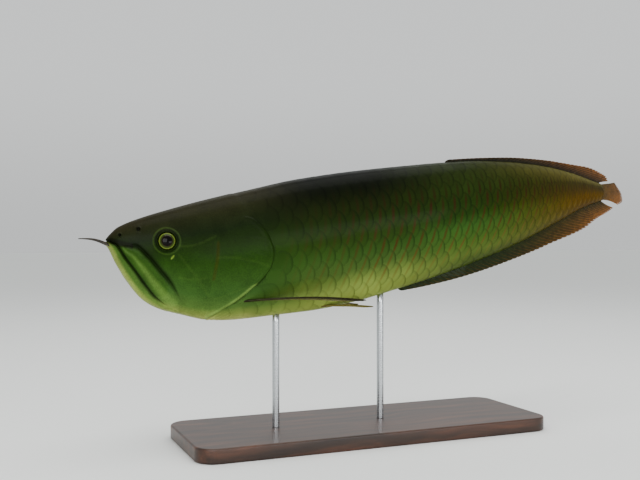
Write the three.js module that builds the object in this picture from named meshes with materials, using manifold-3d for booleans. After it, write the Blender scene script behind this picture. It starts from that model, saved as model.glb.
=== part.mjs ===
// A silver arowana, life size, swimming, held over a plain display stand by two rods.
// Millimetres, +Z up. The origin is the centre of the underside of the stand's base. The fish's nose
// points to -X and its left side to -Y.
//
// Every part of the fish is drawn in the fish's own frame first: X runs back from the tip of the lower jaw,
// Y is across and Z is up from the body's axis. The last lines of the file tip that frame nose down and
// lift it over the stand.
import * as THREE from "three";
import { mergeVertices } from "three/addons/utils/BufferGeometryUtils.js";
import Module from "manifold-3d";

const wasm = await Module();
wasm.setup();
const { Manifold, Mesh: SolidMesh } = wasm;

// Driving sizes of the fish
const BODY_LENGTH = 700; // from the tip of the lower jaw to the root of the tail fin
const HALF_WIDTH = 36; // of the trunk at its thickest
const BACK_HEIGHT = 77; // the back's highest point over the body's axis
const BELLY_DEPTH = 77; // the belly's lowest point under it
const TAIL_BEND = THREE.MathUtils.degToRad(20); // how far the tail has turned to the right at its root
const BEND_START = 0.5; // share of the length where the body starts to bend
const NOSE_DOWN = THREE.MathUtils.degToRad(8.35);
const CUT = 0.3; // the width of every parting cut and of every gap between touching parts

// Driving sizes of the stand
const BASE = { length: 430, width: 150, thick: 16, corner: 22, bevel: 2 };
const ROD_RADIUS = 4;
const ROD_STATIONS = { front: 0.25, rear: 0.44 }; // share of the body's length
const FISH_BALANCE = 0.42; // this share of the body's length is over the middle of the base
const AXIS_LIFT = 190; // the jaw tip's frame over the floor

// How finely the surfaces are cut into faces
const TRUNK_ROUND = 40; // faces round the trunk: two to each row of scales
const HEAD_ROUND = 26;
const CORE_ROUND = 12; // round the inner faces that plates and pockets meet on
const SCALE_PITCH = 17.4; // from one scale to the next along the side
const SCALE_RELIEF = 0.75; // how far the middle of a scale stands over its edges
const SCALE_LEAN = 0.32; // how far a scale's high point lies behind its middle, as a share of half a pitch

// Colours, as seen in the water
const COLOURS = {
  head: 0x3b5320,
  jaw: 0x6f8f4a,
  lip: 0x5f8340,
  cover: 0x40641f,
  trunk: 0x35501c,
  tail: 0x44501d,
  fin: 0x6b4a1c,
  finPale: 0x7d7a3a,
  eye: 0x8a9440,
  barbel: 0x1c1712,
  stand: 0x2a2a2c,
  rod: 0xa9adb0,
};

// A smooth curve through a few [place, value] pairs, with flat ends kept flat and no overshoot.
function through(pairs) {
  const n = pairs.length;
  const slope = pairs.slice(1).map(([x, y], i) => (y - pairs[i][1]) / (x - pairs[i][0]));
  const tangent = pairs.map((_, i) => {
    if (i === 0) return slope[0];
    if (i === n - 1) return slope[n - 2];
    const [a, b] = [slope[i - 1], slope[i]];
    return a * b <= 0 ? 0 : (2 * a * b) / (a + b);
  });
  return (x) => {
    if (x <= pairs[0][0]) return pairs[0][1];
    if (x >= pairs[n - 1][0]) return pairs[n - 1][1];
    const i = pairs.findIndex(([start]) => start > x) - 1;
    const step = pairs[i + 1][0] - pairs[i][0];
    const t = (x - pairs[i][0]) / step;
    const [t2, t3] = [t * t, t * t * t];
    return (
      (2 * t3 - 3 * t2 + 1) * pairs[i][1] +
      (t3 - 2 * t2 + t) * step * tangent[i] +
      (3 * t2 - 2 * t3) * pairs[i + 1][1] +
      (t3 - t2) * step * tangent[i + 1]
    );
  };
}

// The body's outlines. Places are shares of the body's length; heights and widths are millimetres.
const backLine = through([
  [0, 38],
  [0.008, 43],
  [0.022, 49.5],
  [0.055, 55.5],
  [0.104, 61],
  [0.16, 66],
  [0.24, 71.5],
  [0.32, 76],
  [0.4, BACK_HEIGHT],
  [0.55, 74.8],
  [0.64, 71.8],
  [0.72, 65.5],
  [0.82, 53],
  [0.9, 38.5],
  [0.965, 24],
  [1, 16.5],
]);
const bellyLine = through([
  [0, 33],
  [0.004, 26],
  [0.011, 11],
  [0.023, -9],
  [0.039, -28],
  [0.06, -41.5],
  [0.095, -53],
  [0.14, -65.5],
  [0.18, -70.5],
  [0.25, -74],
  [0.33, -BELLY_DEPTH],
  [0.4, -75.5],
  [0.47, -71],
  [0.56, -63.5],
  [0.65, -54],
  [0.744, -41.5],
  [0.855, -23.5],
  [0.93, -12.5],
  [1, -8],
]);
const halfWidth = through([
  [0, 2.5],
  [0.006, 8],
  [0.02, 14],
  [0.045, 20.5],
  [0.084, 26.5],
  [0.12, 29.8],
  [0.17, 32.5],
  [0.25, 34.5],
  [0.38, HALF_WIDTH],
  [0.5, 35],
  [0.62, 30],
  [0.74, 22.5],
  [0.85, 14],
  [0.93, 8.2],
  [1, 4.6],
]);
const widestAt = through([
  [0, 35.5],
  [0.02, 24],
  [0.06, 13],
  [0.15, 5],
  [0.25, 6],
  [0.4, 11],
  [0.65, 13],
  [0.85, 11],
  [1, 4.3],
]);
// How square the section is: 2 is an ellipse, more is boxier, less is more like a keel.
const backSquareness = through([
  [0, 2],
  [0.05, 2.5],
  [0.2, 2.4],
  [0.4, 2.1],
  [1, 2],
]);
const bellySquareness = through([
  [0, 2],
  [0.06, 2.1],
  [0.15, 1.9],
  [0.3, 1.62],
  [0.6, 1.7],
  [1, 2],
]);

const clamp01 = (x) => Math.min(1, Math.max(0, x));
const lerp = (a, b, t) => a + (b - a) * t;

// The fish's midline seen from above: straight to BEND_START, then turning more and more to +Y.
const heading = (s) => TAIL_BEND * Math.max(0, (s - BEND_START) / (1 - BEND_START)) ** 1.5;
const MIDLINE_STEPS = 600;
const MIDLINE_END = 1.12;
const midline = [new THREE.Vector2(0, 0)];
for (let i = 1; i <= MIDLINE_STEPS; i++) {
  const step = (MIDLINE_END / MIDLINE_STEPS) * BODY_LENGTH;
  const turn = heading(((i - 0.5) / MIDLINE_STEPS) * MIDLINE_END);
  const last = midline[i - 1];
  midline.push(new THREE.Vector2(last.x + step * Math.cos(turn), last.y + step * Math.sin(turn)));
}

// The point at share s of the length, off millimetres to the fish's right (+Y) and z up.
function place(s, off, z) {
  const at = clamp01(s / MIDLINE_END) * MIDLINE_STEPS;
  const i = Math.min(MIDLINE_STEPS - 1, Math.floor(at));
  const centre = midline[i].clone().lerp(midline[i + 1], at - i);
  const turn = heading(s);
  return new THREE.Vector3(centre.x - off * Math.sin(turn), centre.y + off * Math.cos(turn), z);
}

// One point of the body's section at share s. The angle runs from 0 on the back, down the left side (-Y),
// to pi on the belly and up the right side. swell moves the point outwards.
function sectionPoint(s, angle, swell) {
  const across = Math.sin(angle);
  const up = Math.cos(angle);
  const [edge, power] = up >= 0 ? [backLine(s), backSquareness(s)] : [bellyLine(s), bellySquareness(s)];
  const middle = widestAt(s);
  const reach = (value) => Math.sign(value) * Math.abs(value) ** (2 / power);
  const width = Math.max(0.4, halfWidth(s) + swell);
  const height = Math.max(0.4, Math.abs(edge - middle) + swell);
  return { off: -width * reach(across), z: middle + height * reach(up) };
}

// Half the body's width at share s and height z.
function halfWidthAt(s, z) {
  const middle = widestAt(s);
  const [edge, power] = z >= middle ? [backLine(s), backSquareness(s)] : [bellyLine(s), bellySquareness(s)];
  const share = clamp01(Math.abs((z - middle) / (edge - middle)));
  return halfWidth(s) * (1 - share ** power) ** (1 / power);
}

// A point on the skin seen from the side: x and z in millimetres in the straight front half, side -1 for the
// left and 1 for the right, lift above the skin.
function onSkin(x, z, side, lift = 0) {
  const s = x / BODY_LENGTH;
  return new THREE.Vector3(x, side * (halfWidthAt(s, z) + lift), z);
}

// The way out of the skin there.
function skinNormal(x, z, side) {
  const step = 1.5;
  const along = onSkin(x + step, z, side).sub(onSkin(x - step, z, side));
  const up = onSkin(x, z + step, side).sub(onSkin(x, z - step, side));
  const out = along.cross(up).normalize();
  return out.y * side < 0 ? out.negate() : out;
}

// Between three.js geometry and manifold-3d solids
function toSolid(geometry) {
  const bare = geometry.clone();
  bare.deleteAttribute("normal");
  bare.deleteAttribute("uv");
  const merged = mergeVertices(bare, 1e-4);
  const vertProperties = Float32Array.from(merged.attributes.position.array);
  const triVerts = Uint32Array.from(merged.index.array);
  const solid = new Manifold(new SolidMesh({ numProp: 3, vertProperties, triVerts }));
  if (solid.volume() > 0) return solid;
  // The faces were wound inwards, so each one is turned over.
  for (let f = 0; f < triVerts.length; f += 3) [triVerts[f], triVerts[f + 1]] = [triVerts[f + 1], triVerts[f]];
  return new Manifold(new SolidMesh({ numProp: 3, vertProperties, triVerts }));
}
function toGeometry(solid) {
  const { numProp, numVert, vertProperties, triVerts } = solid.getMesh();
  const places = new Float32Array(numVert * 3);
  for (let i = 0; i < numVert; i++) {
    places.set(vertProperties.subarray(i * numProp, i * numProp + 3), i * 3);
  }
  const geometry = new THREE.BufferGeometry();
  geometry.setAttribute("position", new THREE.BufferAttribute(places, 3));
  geometry.setIndex(new THREE.BufferAttribute(Uint32Array.from(triVerts), 1));
  return geometry;
}
// The largest closed body of a solid: what a cut leaves loose is dropped.
const largest = (solid) => solid.decompose().reduce((a, b) => (b.volume() > a.volume() ? b : a));

// A closed skin over rows of points, each row a closed ring, with a point at each end.
// Where isHigh tells of a raised point, the faces' diagonals run round it.
function closedRings(rings, first, last, isHigh = () => false) {
  const round = rings[0].length;
  const points = [first, ...rings.flat(), last];
  const at = (ring, j) => 1 + ring * round + (j % round);
  const faces = [];
  for (let j = 0; j < round; j++) {
    faces.push(0, at(0, j + 1), at(0, j));
    faces.push(points.length - 1, at(rings.length - 1, j), at(rings.length - 1, j + 1));
  }
  for (let i = 0; i + 1 < rings.length; i++) {
    for (let j = 0; j < round; j++) {
      const [a, b, c, d] = [at(i, j), at(i + 1, j), at(i + 1, j + 1), at(i, j + 1)];
      if (isHigh(i, j) || isHigh(i + 1, j + 1)) faces.push(a, d, b, b, d, c);
      else faces.push(a, c, b, a, d, c);
    }
  }
  const geometry = new THREE.BufferGeometry().setFromPoints(points);
  geometry.setIndex(faces);
  return geometry;
}

// The body as one closed solid over the stations given. swell moves the skin outwards and relief raises
// single points of it.
function bodySolid({ stations, round, swell = () => 0, relief }) {
  const rings = stations.map((s, i) =>
    Array.from({ length: round }, (_, j) => {
      const angle = (2 * Math.PI * j) / round;
      const raised = relief?.(i, j);
      const at = raised ? s + SCALE_LEAN * halfPitch : s;
      const lift = raised ? SCALE_RELIEF * scaleRoom(s) : 0;
      const point = sectionPoint(at, angle, swell(s) + lift);
      return place(at, point.off, point.z);
    }),
  );
  const end = (s) => place(s, 0, (backLine(s) + bellyLine(s)) / 2);
  return toSolid(closedRings(rings, end(stations[0]), end(stations[stations.length - 1]), relief));
}

// Stations are close together at the blunt snout and a half pitch of scales apart on the trunk and tail.
const SNOUT_STATIONS = [0.0005, 0.003, 0.007, 0.013, 0.021, 0.031, 0.043];
const HEAD_STATIONS = [...SNOUT_STATIONS, ...Array.from({ length: 14 }, (_, i) => lerp(0.056, 0.26, i / 13))];
const CORE_STATIONS = [0.01, 0.025, 0.045, 0.08, 0.12, 0.16, 0.2, 0.26];
const halfPitch = SCALE_PITCH / 2 / BODY_LENGTH;
const TRUNK_STATIONS = [];
for (let s = 0.1; s < 1 - halfPitch / 2; s += halfPitch) TRUNK_STATIONS.push(s);
TRUNK_STATIONS.push(1);

// Scales: every second ring line is a row of them, and the rows are set half a pitch apart like bricks. The
// rows on the midline of the back and the belly stay smooth, because fins and rods stand there.
const scaleRoom = (s) => 0.3 + 0.7 * clamp01((backLine(s) - bellyLine(s)) / (BACK_HEIGHT + BELLY_DEPTH));
function isScaleTop(i, j) {
  const row = (j % TRUNK_ROUND) / 2;
  const onMidline = row % (TRUNK_ROUND / 4) === 0;
  const onEnd = i === 0 || i >= TRUNK_STATIONS.length - 1;
  return Number.isInteger(row) && !onMidline && !onEnd && (i + row) % 2 === 0;
}
const headBody = (swell = () => 0) => bodySolid({ stations: HEAD_STATIONS, round: HEAD_ROUND, swell });
const coreBody = (depth) => bodySolid({ stations: CORE_STATIONS, round: CORE_ROUND, swell: () => -depth });
const trunkBody = (swell) =>
  bodySolid({ stations: TRUNK_STATIONS, round: TRUNK_ROUND, swell: () => swell, relief: isScaleTop });

// A prism through the whole fish with an outline drawn from the side, as [x, z] pairs.
const PRISM_REACH = 90;
function prism(outline) {
  const shape = new THREE.Shape(outline.map(([x, z]) => new THREE.Vector2(x, z)));
  const geometry = new THREE.ExtrudeGeometry(shape, {
    depth: 2 * PRISM_REACH,
    bevelEnabled: false,
    steps: 1,
  });
  return toSolid(geometry.rotateX(Math.PI / 2).translate(0, PRISM_REACH, 0));
}
function box(x, y, z) {
  const [size, middle] = [x, y, z].reduce(
    ([a, b], [low, high]) => [[...a, high - low], [...b, (low + high) / 2]],
    [[], []],
  );
  return toSolid(new THREE.BoxGeometry(...size).translate(...middle));
}
// An outline moved outwards all round by a distance, for a pocket that leaves room for its plate.
function grown(outline, by) {
  const clockwise = THREE.ShapeUtils.area(outline.map(([x, z]) => new THREE.Vector2(x, z))) < 0;
  const n = outline.length;
  return outline.map(([x, z], i) => {
    const [px, pz] = outline[(i + n - 1) % n];
    const [qx, qz] = outline[(i + 1) % n];
    const before = new THREE.Vector2(x - px, z - pz).normalize();
    const after = new THREE.Vector2(qx - x, qz - z).normalize();
    const out = before.add(after).normalize().rotateAround(new THREE.Vector2(), clockwise ? Math.PI / 2 : -Math.PI / 2);
    return [x + out.x * by, z + out.y * by];
  });
}
// Points spread evenly along a smooth line through [x, z] pairs.
function smoothLine(pairs, count) {
  const curve = new THREE.SplineCurve(pairs.map(([x, z]) => new THREE.Vector2(x, z)));
  return curve.getSpacedPoints(count).map((p) => [p.x, p.y]);
}

// Lines on the side of the head, as [x, z] pairs in the fish's frame
const GILL_EDGE = smoothLine(
  [
    [132, 84],
    [146, 55],
    [157, 36],
    [168, 18],
    [171, -4],
    [160, -24],
    [130, -45],
    [104, -57],
    [88, -64],
    [76, -76],
  ],
  22,
);
const MOUTH_LINE = smoothLine(
  [
    [9.5, 30],
    [15.4, 16.6],
    [23, 2],
    [31, -14],
    [40, -29],
    [49, -38.5],
  ],
  12,
);
const CHEEK_LINE = smoothLine(
  [
    [28.7, 26.3],
    [39, 12.2],
    [47, -1.6],
    [55, -14.6],
    [61.6, -29.5],
    [64.5, -38],
  ],
  12,
);
const COVER_FRONT = smoothLine(
  [
    [92, -59],
    [96, -40],
    [102, -19],
    [109, 4],
    [113, 25],
    [119, 38],
  ],
  12,
);
// The gill cover: up its front edge, then over its top and round its free edge.
const COVER = [...COVER_FRONT, [135, 42], [148, 41], ...GILL_EDGE.filter(([, z]) => z < 37 && z > -59)];
// The maxilla: down the line of the cheek, round its lower end and up the line of the mouth.
const MAXILLA = [[20, 29.5], ...CHEEK_LINE, [63.5, -43], [58.5, -45.5], ...[...MOUTH_LINE].reverse()];
// The lower jaw lies in front of the mouth's line, and ends under the hinge of the jaw.
const LOWER_JAW = [
  [-20, 60],
  [-2, 39],
  [5, 35.2],
  ...MOUTH_LINE,
  [57, -46],
  [66, -49],
  [74, -62],
  [60, -90],
  [-20, -90],
];
const HEAD_SIDE = [[-20, 90], ...GILL_EDGE, [60, -100], [-20, -100]];

const COVER_PROUD = 1.7; // how far the gill cover's free edge stands off the shoulder
const MAXILLA_PROUD = 1.1;
const PLATE_DEPTH = 5; // how far a plate of bone reaches into the head

// A plate let into both sides of the head: the two plates and the pockets that they fill.
function inlay(outline, proud) {
  const plates = headBody(proud).intersect(prism(outline)).subtract(coreBody(PLATE_DEPTH));
  const pockets = prism(grown(outline, CUT)).subtract(coreBody(PLATE_DEPTH + CUT));
  const half = (side) => box([-30, 300], side < 0 ? [-99, -1] : [1, 99], [-99, 99]);
  return { left: largest(plates.intersect(half(-1))), right: largest(plates.intersect(half(1))), pockets };
}

// A tube laid on the skin along [x, z] pairs, sunk a little, on one side of the head.
function skinCord(line, side, radius, sink) {
  const path = new THREE.CatmullRomCurve3(line.map(([x, z]) => onSkin(x, z, side, -sink)));
  const round = new THREE.Shape().absarc(0, 0, radius, 0, 2 * Math.PI);
  return toSolid(
    new THREE.ExtrudeGeometry(round, { steps: 14, curveSegments: 6, bevelEnabled: false, extrudePath: path }),
  );
}
function turnedTo(geometry, way, at) {
  geometry.applyQuaternion(new THREE.Quaternion().setFromUnitVectors(new THREE.Vector3(0, 0, 1), way));
  return geometry.translate(at.x, at.y, at.z);
}

// The eye is a flat lens, because a fish's cornea is nearly level with its cheek.
const EYE = { x: 59, z: 28.2, radius: 9.3, thick: 5.2, sink: 2.3, rim: 1.1 };
function eyeLens(side, extra) {
  const ball = new THREE.SphereGeometry(1, 16, 8);
  ball.scale(EYE.radius + extra, EYE.radius + extra, EYE.thick + extra);
  const out = skinNormal(EYE.x, EYE.z, side);
  return toSolid(turnedTo(ball, out, onSkin(EYE.x, EYE.z, side).addScaledVector(out, -EYE.sink)));
}
function eyeRim(side) {
  const ring = new THREE.TorusGeometry(EYE.radius + 0.9, EYE.rim, 5, 16);
  const out = skinNormal(EYE.x, EYE.z, side);
  return toSolid(turnedTo(ring, out, onSkin(EYE.x, EYE.z, side).addScaledVector(out, -0.3)));
}

// Two nostrils a side, each a pit in a low ring. The front one opens at the tip of the snout.
const NOSTRILS = [
  { x: 14, z: 41, radius: 1.5 },
  { x: 33, z: 44.5, radius: 1.9 },
];
function nostril({ x, z, radius }, side) {
  const out = skinNormal(x, z, side);
  const at = onSkin(x, z, side);
  const ring = toSolid(turnedTo(new THREE.TorusGeometry(radius, 0.6, 4, 10), out, at.clone()));
  const pit = toSolid(turnedTo(new THREE.SphereGeometry(radius, 8, 6), out, at.clone()));
  return { ring, pit };
}

// The head with its jaws and gill covers, parted by thin cuts.
function headParts() {
  const covers = inlay(COVER, (s) => COVER_PROUD * clamp01((s - 0.15) / 0.07));
  const maxillas = inlay(MAXILLA, () => MAXILLA_PROUD);
  const whole = headBody();
  const lips = [-1, 1].map((side) => skinCord(MOUTH_LINE.slice(0, 11).map(([x, z]) => [x - 1.6, z - 1]), side, 1.3, 0.5));
  const jaw = whole
    .intersect(prism(LOWER_JAW))
    .add(lips[0])
    .add(lips[1])
    .subtract(maxillas.pockets);
  let head = whole
    .intersect(prism(HEAD_SIDE))
    .subtract(prism(grown(LOWER_JAW, CUT)))
    .subtract(covers.pockets)
    .subtract(maxillas.pockets);
  for (const side of [-1, 1]) {
    for (const spot of NOSTRILS) {
      const { ring, pit } = nostril(spot, side);
      head = head.add(ring).subtract(pit);
    }
    head = head.add(eyeRim(side)).subtract(eyeLens(side, CUT));
  }
  return {
    head: largest(head),
    lower_jaw: largest(jaw.subtract(lipRoom())),
    maxilla_left: maxillas.left,
    maxilla_right: maxillas.right,
    gill_cover_left: covers.left,
    gill_cover_right: covers.right,
    eye_left: eyeLens(-1, 0),
    eye_right: eyeLens(1, 0),
  };
}
// What the lips may not fill: everything behind the mouth's line.
function lipRoom() {
  const behind = [...MOUTH_LINE, [57, -46], [66, -49], [74, -62], [200, -62], [200, 90], [-2, 90], [-2, 39], [5, 35.2]];
  return prism(behind);
}

// A barbel: a tapered, curved feeler that grows forwards from the tip of the lower jaw.
const BARBEL = { length: 30, root: 2, tip: 0.45, rings: 8, sides: 7, out: 0.2, rise: 0.43 };
function barbel(side) {
  const root = place(0.006, side * 4.2, 31);
  const rings = Array.from({ length: BARBEL.rings + 1 }, (_, i) => {
    const t = i / BARBEL.rings;
    const centre = new THREE.Vector3(
      root.x - BARBEL.length * t,
      root.y + side * BARBEL.length * (BARBEL.out * t + 0.06 * Math.sin(Math.PI * t)),
      root.z + BARBEL.length * (BARBEL.rise * t + 0.08 * Math.sin(Math.PI * t * 1.1)),
    );
    const radius = lerp(BARBEL.root, BARBEL.tip, t ** 0.8);
    return Array.from({ length: BARBEL.sides }, (_, j) => {
      const turn = (2 * Math.PI * j) / BARBEL.sides;
      return centre.clone().add(new THREE.Vector3(0, radius * Math.cos(turn), radius * Math.sin(turn)));
    });
  });
  const middle = (ring) => ring.reduce((a, b) => a.clone().add(b)).divideScalar(ring.length);
  const solid = toSolid(closedRings(rings, middle(rings[0]), middle(rings[BARBEL.rings])));
  return largest(solid.subtract(headBody(() => CUT)));
}

// A fin: a thin sheet over a grid of points, thick at each ray and thin between. rays is the number of rays;
// point(u, v) gives the sheet's middle at share u along the root and v out to the edge; side(u, v) is the way
// across the sheet; rayHalf(v) and skinHalf(v) are half the thickness at a ray and between rays. steps is the
// number of faces along a ray, and notch the share of a ray's length that the skin's edge stays behind its tip.
function finSheet({ rays, steps, point, side, rayHalf, skinHalf, notch = 0 }) {
  const columns = rays * 2 + 1;
  const grid = [];
  for (let i = 0; i < columns; i++) {
    const onRay = i % 2 === 1;
    const u = i / (columns - 1);
    grid.push(
      Array.from({ length: steps + 1 }, (_, k) => {
        const v = (k / steps) * (onRay ? 1 : 1 - notch);
        const middle = point(u, v);
        const half = (onRay ? rayHalf : skinHalf)(v);
        const way = side(u, v).multiplyScalar(half);
        return [middle.clone().add(way), middle.clone().sub(way)];
      }),
    );
  }
  const index = (i, k, face) => (i * (steps + 1) + k) * 2 + face;
  const points = grid.flat().flat();
  const faces = [];
  const quad = (a, b, c, d) => faces.push(a, b, c, a, c, d);
  for (let i = 0; i + 1 < columns; i++) {
    for (let k = 0; k < steps; k++) {
      quad(index(i, k, 0), index(i + 1, k, 0), index(i + 1, k + 1, 0), index(i, k + 1, 0));
      faces.push(index(i, k, 1), index(i + 1, k + 1, 1), index(i + 1, k, 1));
      faces.push(index(i, k, 1), index(i, k + 1, 1), index(i + 1, k + 1, 1));
    }
    quad(index(i, 0, 1), index(i + 1, 0, 1), index(i + 1, 0, 0), index(i, 0, 0));
    quad(index(i, steps, 0), index(i + 1, steps, 0), index(i + 1, steps, 1), index(i, steps, 1));
  }
  for (let k = 0; k < steps; k++) {
    quad(index(0, k, 0), index(0, k + 1, 0), index(0, k + 1, 1), index(0, k, 1));
    const last = columns - 1;
    quad(index(last, k, 1), index(last, k + 1, 1), index(last, k + 1, 0), index(last, k, 0));
  }
  const geometry = new THREE.BufferGeometry().setFromPoints(points);
  geometry.setIndex(faces);
  return toSolid(geometry);
}

// The fins on the midline of the back and the belly. Their rays lean back at a shallow angle, as when swimming:
// lean is that angle in degrees from the first ray to the last.
const MEDIAN_FINS = {
  dorsal_fin: {
    from: 0.6,
    to: 0.995,
    rays: 44,
    edge: backLine,
    up: 1,
    lean: through([
      [0, 30],
      [0.6, 28],
      [0.93, 24],
      [1, 18],
    ]),
    height: through([
      [0, 2.5],
      [0.12, 3],
      [0.33, 6],
      [0.6, 10],
      [0.72, 14],
      [0.82, 18.5],
      [0.93, 16],
      [1, 8],
    ]),
  },
  anal_fin: {
    from: 0.476,
    to: 0.995,
    rays: 52,
    edge: bellyLine,
    up: -1,
    lean: through([
      [0, 42],
      [0.5, 37],
      [0.88, 29],
      [1, 29],
    ]),
    height: through([
      [0, 3],
      [0.07, 7],
      [0.2, 12.5],
      [0.4, 18],
      [0.55, 23],
      [0.7, 31],
      [0.8, 29],
      [0.88, 23.5],
      [1, 17.5],
    ]),
  },
};
function medianFin({ from, to, rays, edge, up, lean, height }) {
  const point = (u, v) => {
    const s = lerp(from, to, u);
    const lay = THREE.MathUtils.degToRad(lean(u));
    const slope = (edge(s + 0.004) - edge(s - 0.004)) / (0.008 * BODY_LENGTH);
    const tilt = Math.atan(slope);
    const length = height(u) / Math.sin(lay);
    const out = v * length * (1 - 0.12 * v) * 1.12;
    // A ray curves back a little more towards its tip.
    const angle = tilt + up * lay * (1.12 - 0.24 * v);
    const z = edge(s) + up * CUT + out * Math.sin(angle);
    return place(s + (out * Math.cos(angle)) / BODY_LENGTH, 0, z);
  };
  const side = (u) => {
    const turn = heading(lerp(from, to, u));
    return new THREE.Vector3(Math.sin(turn), -Math.cos(turn), 0);
  };
  return finSheet({
    rays,
    steps: 2,
    point,
    side,
    rayHalf: (v) => lerp(0.95, 0.45, v),
    skinHalf: (v) => lerp(0.45, 0.26, v),
    notch: 0.05,
  });
}

// The tail fin: a small rounded fan that droops a little from the root of the tail.
const CAUDAL = { rays: 14, top: 0, bottom: -16, rootTop: 14, rootBottom: -6 };
const CAUDAL_ROOT = 1 + CUT / BODY_LENGTH;
const caudalHalf = through([
  [0, 3],
  [0.15, 1.5],
  [1, 0.45],
]);
const caudalLength = through([
  [0, 42],
  [0.25, 52],
  [0.5, 62],
  [0.75, 64],
  [1, 46],
]);
function caudalFin() {
  const point = (u, v) => {
    const angle = THREE.MathUtils.degToRad(lerp(CAUDAL.top, CAUDAL.bottom, u)) * (0.55 + 0.45 * v);
    const out = v * caudalLength(u);
    const z = lerp(CAUDAL.rootTop, CAUDAL.rootBottom, u) + out * Math.sin(angle);
    return place(CAUDAL_ROOT + (out * Math.cos(angle)) / BODY_LENGTH, 0, z);
  };
  const side = (u, v) => {
    const turn = heading(CAUDAL_ROOT + (v * caudalLength(u)) / BODY_LENGTH);
    return new THREE.Vector3(Math.sin(turn), -Math.cos(turn), 0);
  };
  return finSheet({
    rays: CAUDAL.rays,
    steps: 4,
    point,
    side,
    rayHalf: caudalHalf,
    skinHalf: (v) => 0.6 * caudalHalf(v),
    notch: 0.04,
  });
}

// The paired fins. Each grows from a short root on the lower side and sweeps back, its first ray longest.
const PECTORAL = { x: [131, 149], z: -49, rays: 9, tip: [275, -71], reach: 47, inner: 62, innerOut: 25, sink: 3 };
const PELVIC = { x: [228, 240], z: -72.5, rays: 6, tip: [291, -83], reach: 21, inner: 34, innerOut: 10, sink: 2 };
function pairedFin(fin, side) {
  const point = (u, v) => {
    const x0 = lerp(fin.x[0], fin.x[1], u);
    const root = onSkin(x0, fin.z - 1.5 * u, side, -fin.sink);
    const tip = new THREE.Vector3(
      lerp(fin.tip[0], x0 + fin.inner, u ** 0.7),
      side * lerp(fin.reach, fin.innerOut, u ** 0.8),
      lerp(fin.tip[1], fin.z - 8, u),
    );
    const at = root.clone().lerp(tip, v);
    // The fin bows outwards near its root and flattens towards the tip.
    at.y += side * (1 - u * 0.6) * 0.1 * root.distanceTo(tip) * Math.sin(Math.PI * v) * 0.8;
    at.z += 0.035 * root.distanceTo(tip) * Math.sin(Math.PI * v) * (1 - u);
    return at;
  };
  const across = (u, v) => {
    const du = 0.04;
    const [u0, u1] = [Math.max(0, u - du), Math.min(1, u + du)];
    const [v0, v1] = [Math.max(0, v - du), Math.min(1, v + du)];
    return point(u1, Math.max(v, 0.1))
      .sub(point(u0, Math.max(v, 0.1)))
      .cross(point(u, v1).sub(point(u, v0)))
      .normalize();
  };
  const sheet = finSheet({
    rays: fin.rays,
    steps: 5,
    point,
    side: across,
    rayHalf: (v) => lerp(1.1, 0.4, v),
    skinHalf: (v) => lerp(0.5, 0.25, v),
    notch: 0.03,
  });
  return largest(sheet.subtract(trunkBody(CUT)));
}

// The trunk and the tail carry the scales. The trunk ends at the vent, where the anal fin starts.
const VENT = 0.472;
function trunkAndTail() {
  const scaled = trunkBody(0);
  const ventX = VENT * BODY_LENGTH;
  const behindVent = box([ventX + CUT / 2, 900], [-200, 200], [-120, 120]);
  const beforeVent = box([-50, ventX - CUT / 2], [-200, 200], [-120, 120]);
  return {
    trunk: largest(scaled.intersect(beforeVent).subtract(prism(grown(HEAD_SIDE, CUT)))),
    tail: largest(scaled.intersect(behindVent)),
  };
}

// The stand, drawn in the part's own frame
function standBase() {
  const { length, width, thick, corner, bevel } = BASE;
  const [x, y, r] = [length / 2 - bevel, width / 2 - bevel, corner];
  const shape = new THREE.Shape()
    .moveTo(-x + r, -y)
    .lineTo(x - r, -y)
    .absarc(x - r, -y + r, r, -Math.PI / 2, 0)
    .lineTo(x, y - r)
    .absarc(x - r, y - r, r, 0, Math.PI / 2)
    .lineTo(-x + r, y)
    .absarc(-x + r, y - r, r, Math.PI / 2, Math.PI)
    .lineTo(-x, -y + r)
    .absarc(-x + r, -y + r, r, Math.PI, 1.5 * Math.PI);
  const plate = new THREE.ExtrudeGeometry(shape, {
    depth: thick - 2 * bevel,
    bevelThickness: bevel,
    bevelSize: bevel,
    bevelSegments: 1,
    curveSegments: 5,
  });
  return toSolid(plate.translate(0, 0, bevel));
}
const fishPose = new THREE.Matrix4()
  .makeTranslation(-FISH_BALANCE * BODY_LENGTH * Math.cos(NOSE_DOWN), 0, AXIS_LIFT)
  .multiply(new THREE.Matrix4().makeRotationY(-NOSE_DOWN));
// A rod reaches up past the keel of the belly and is notched to hold it.
const ROD_GRIP = 5;
function rod(s) {
  const foot = BASE.thick + CUT;
  const belly = place(s, 0, bellyLine(s)).applyMatrix4(fishPose);
  const height = belly.z + ROD_GRIP - foot;
  const bar = new THREE.CylinderGeometry(ROD_RADIUS, ROD_RADIUS, height, 20).rotateX(Math.PI / 2);
  const standing = toSolid(bar.translate(belly.x, belly.y, foot + height / 2));
  const body = toSolid(toGeometry(trunkBody(CUT)).applyMatrix4(fishPose));
  return largest(standing.subtract(body));
}

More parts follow.
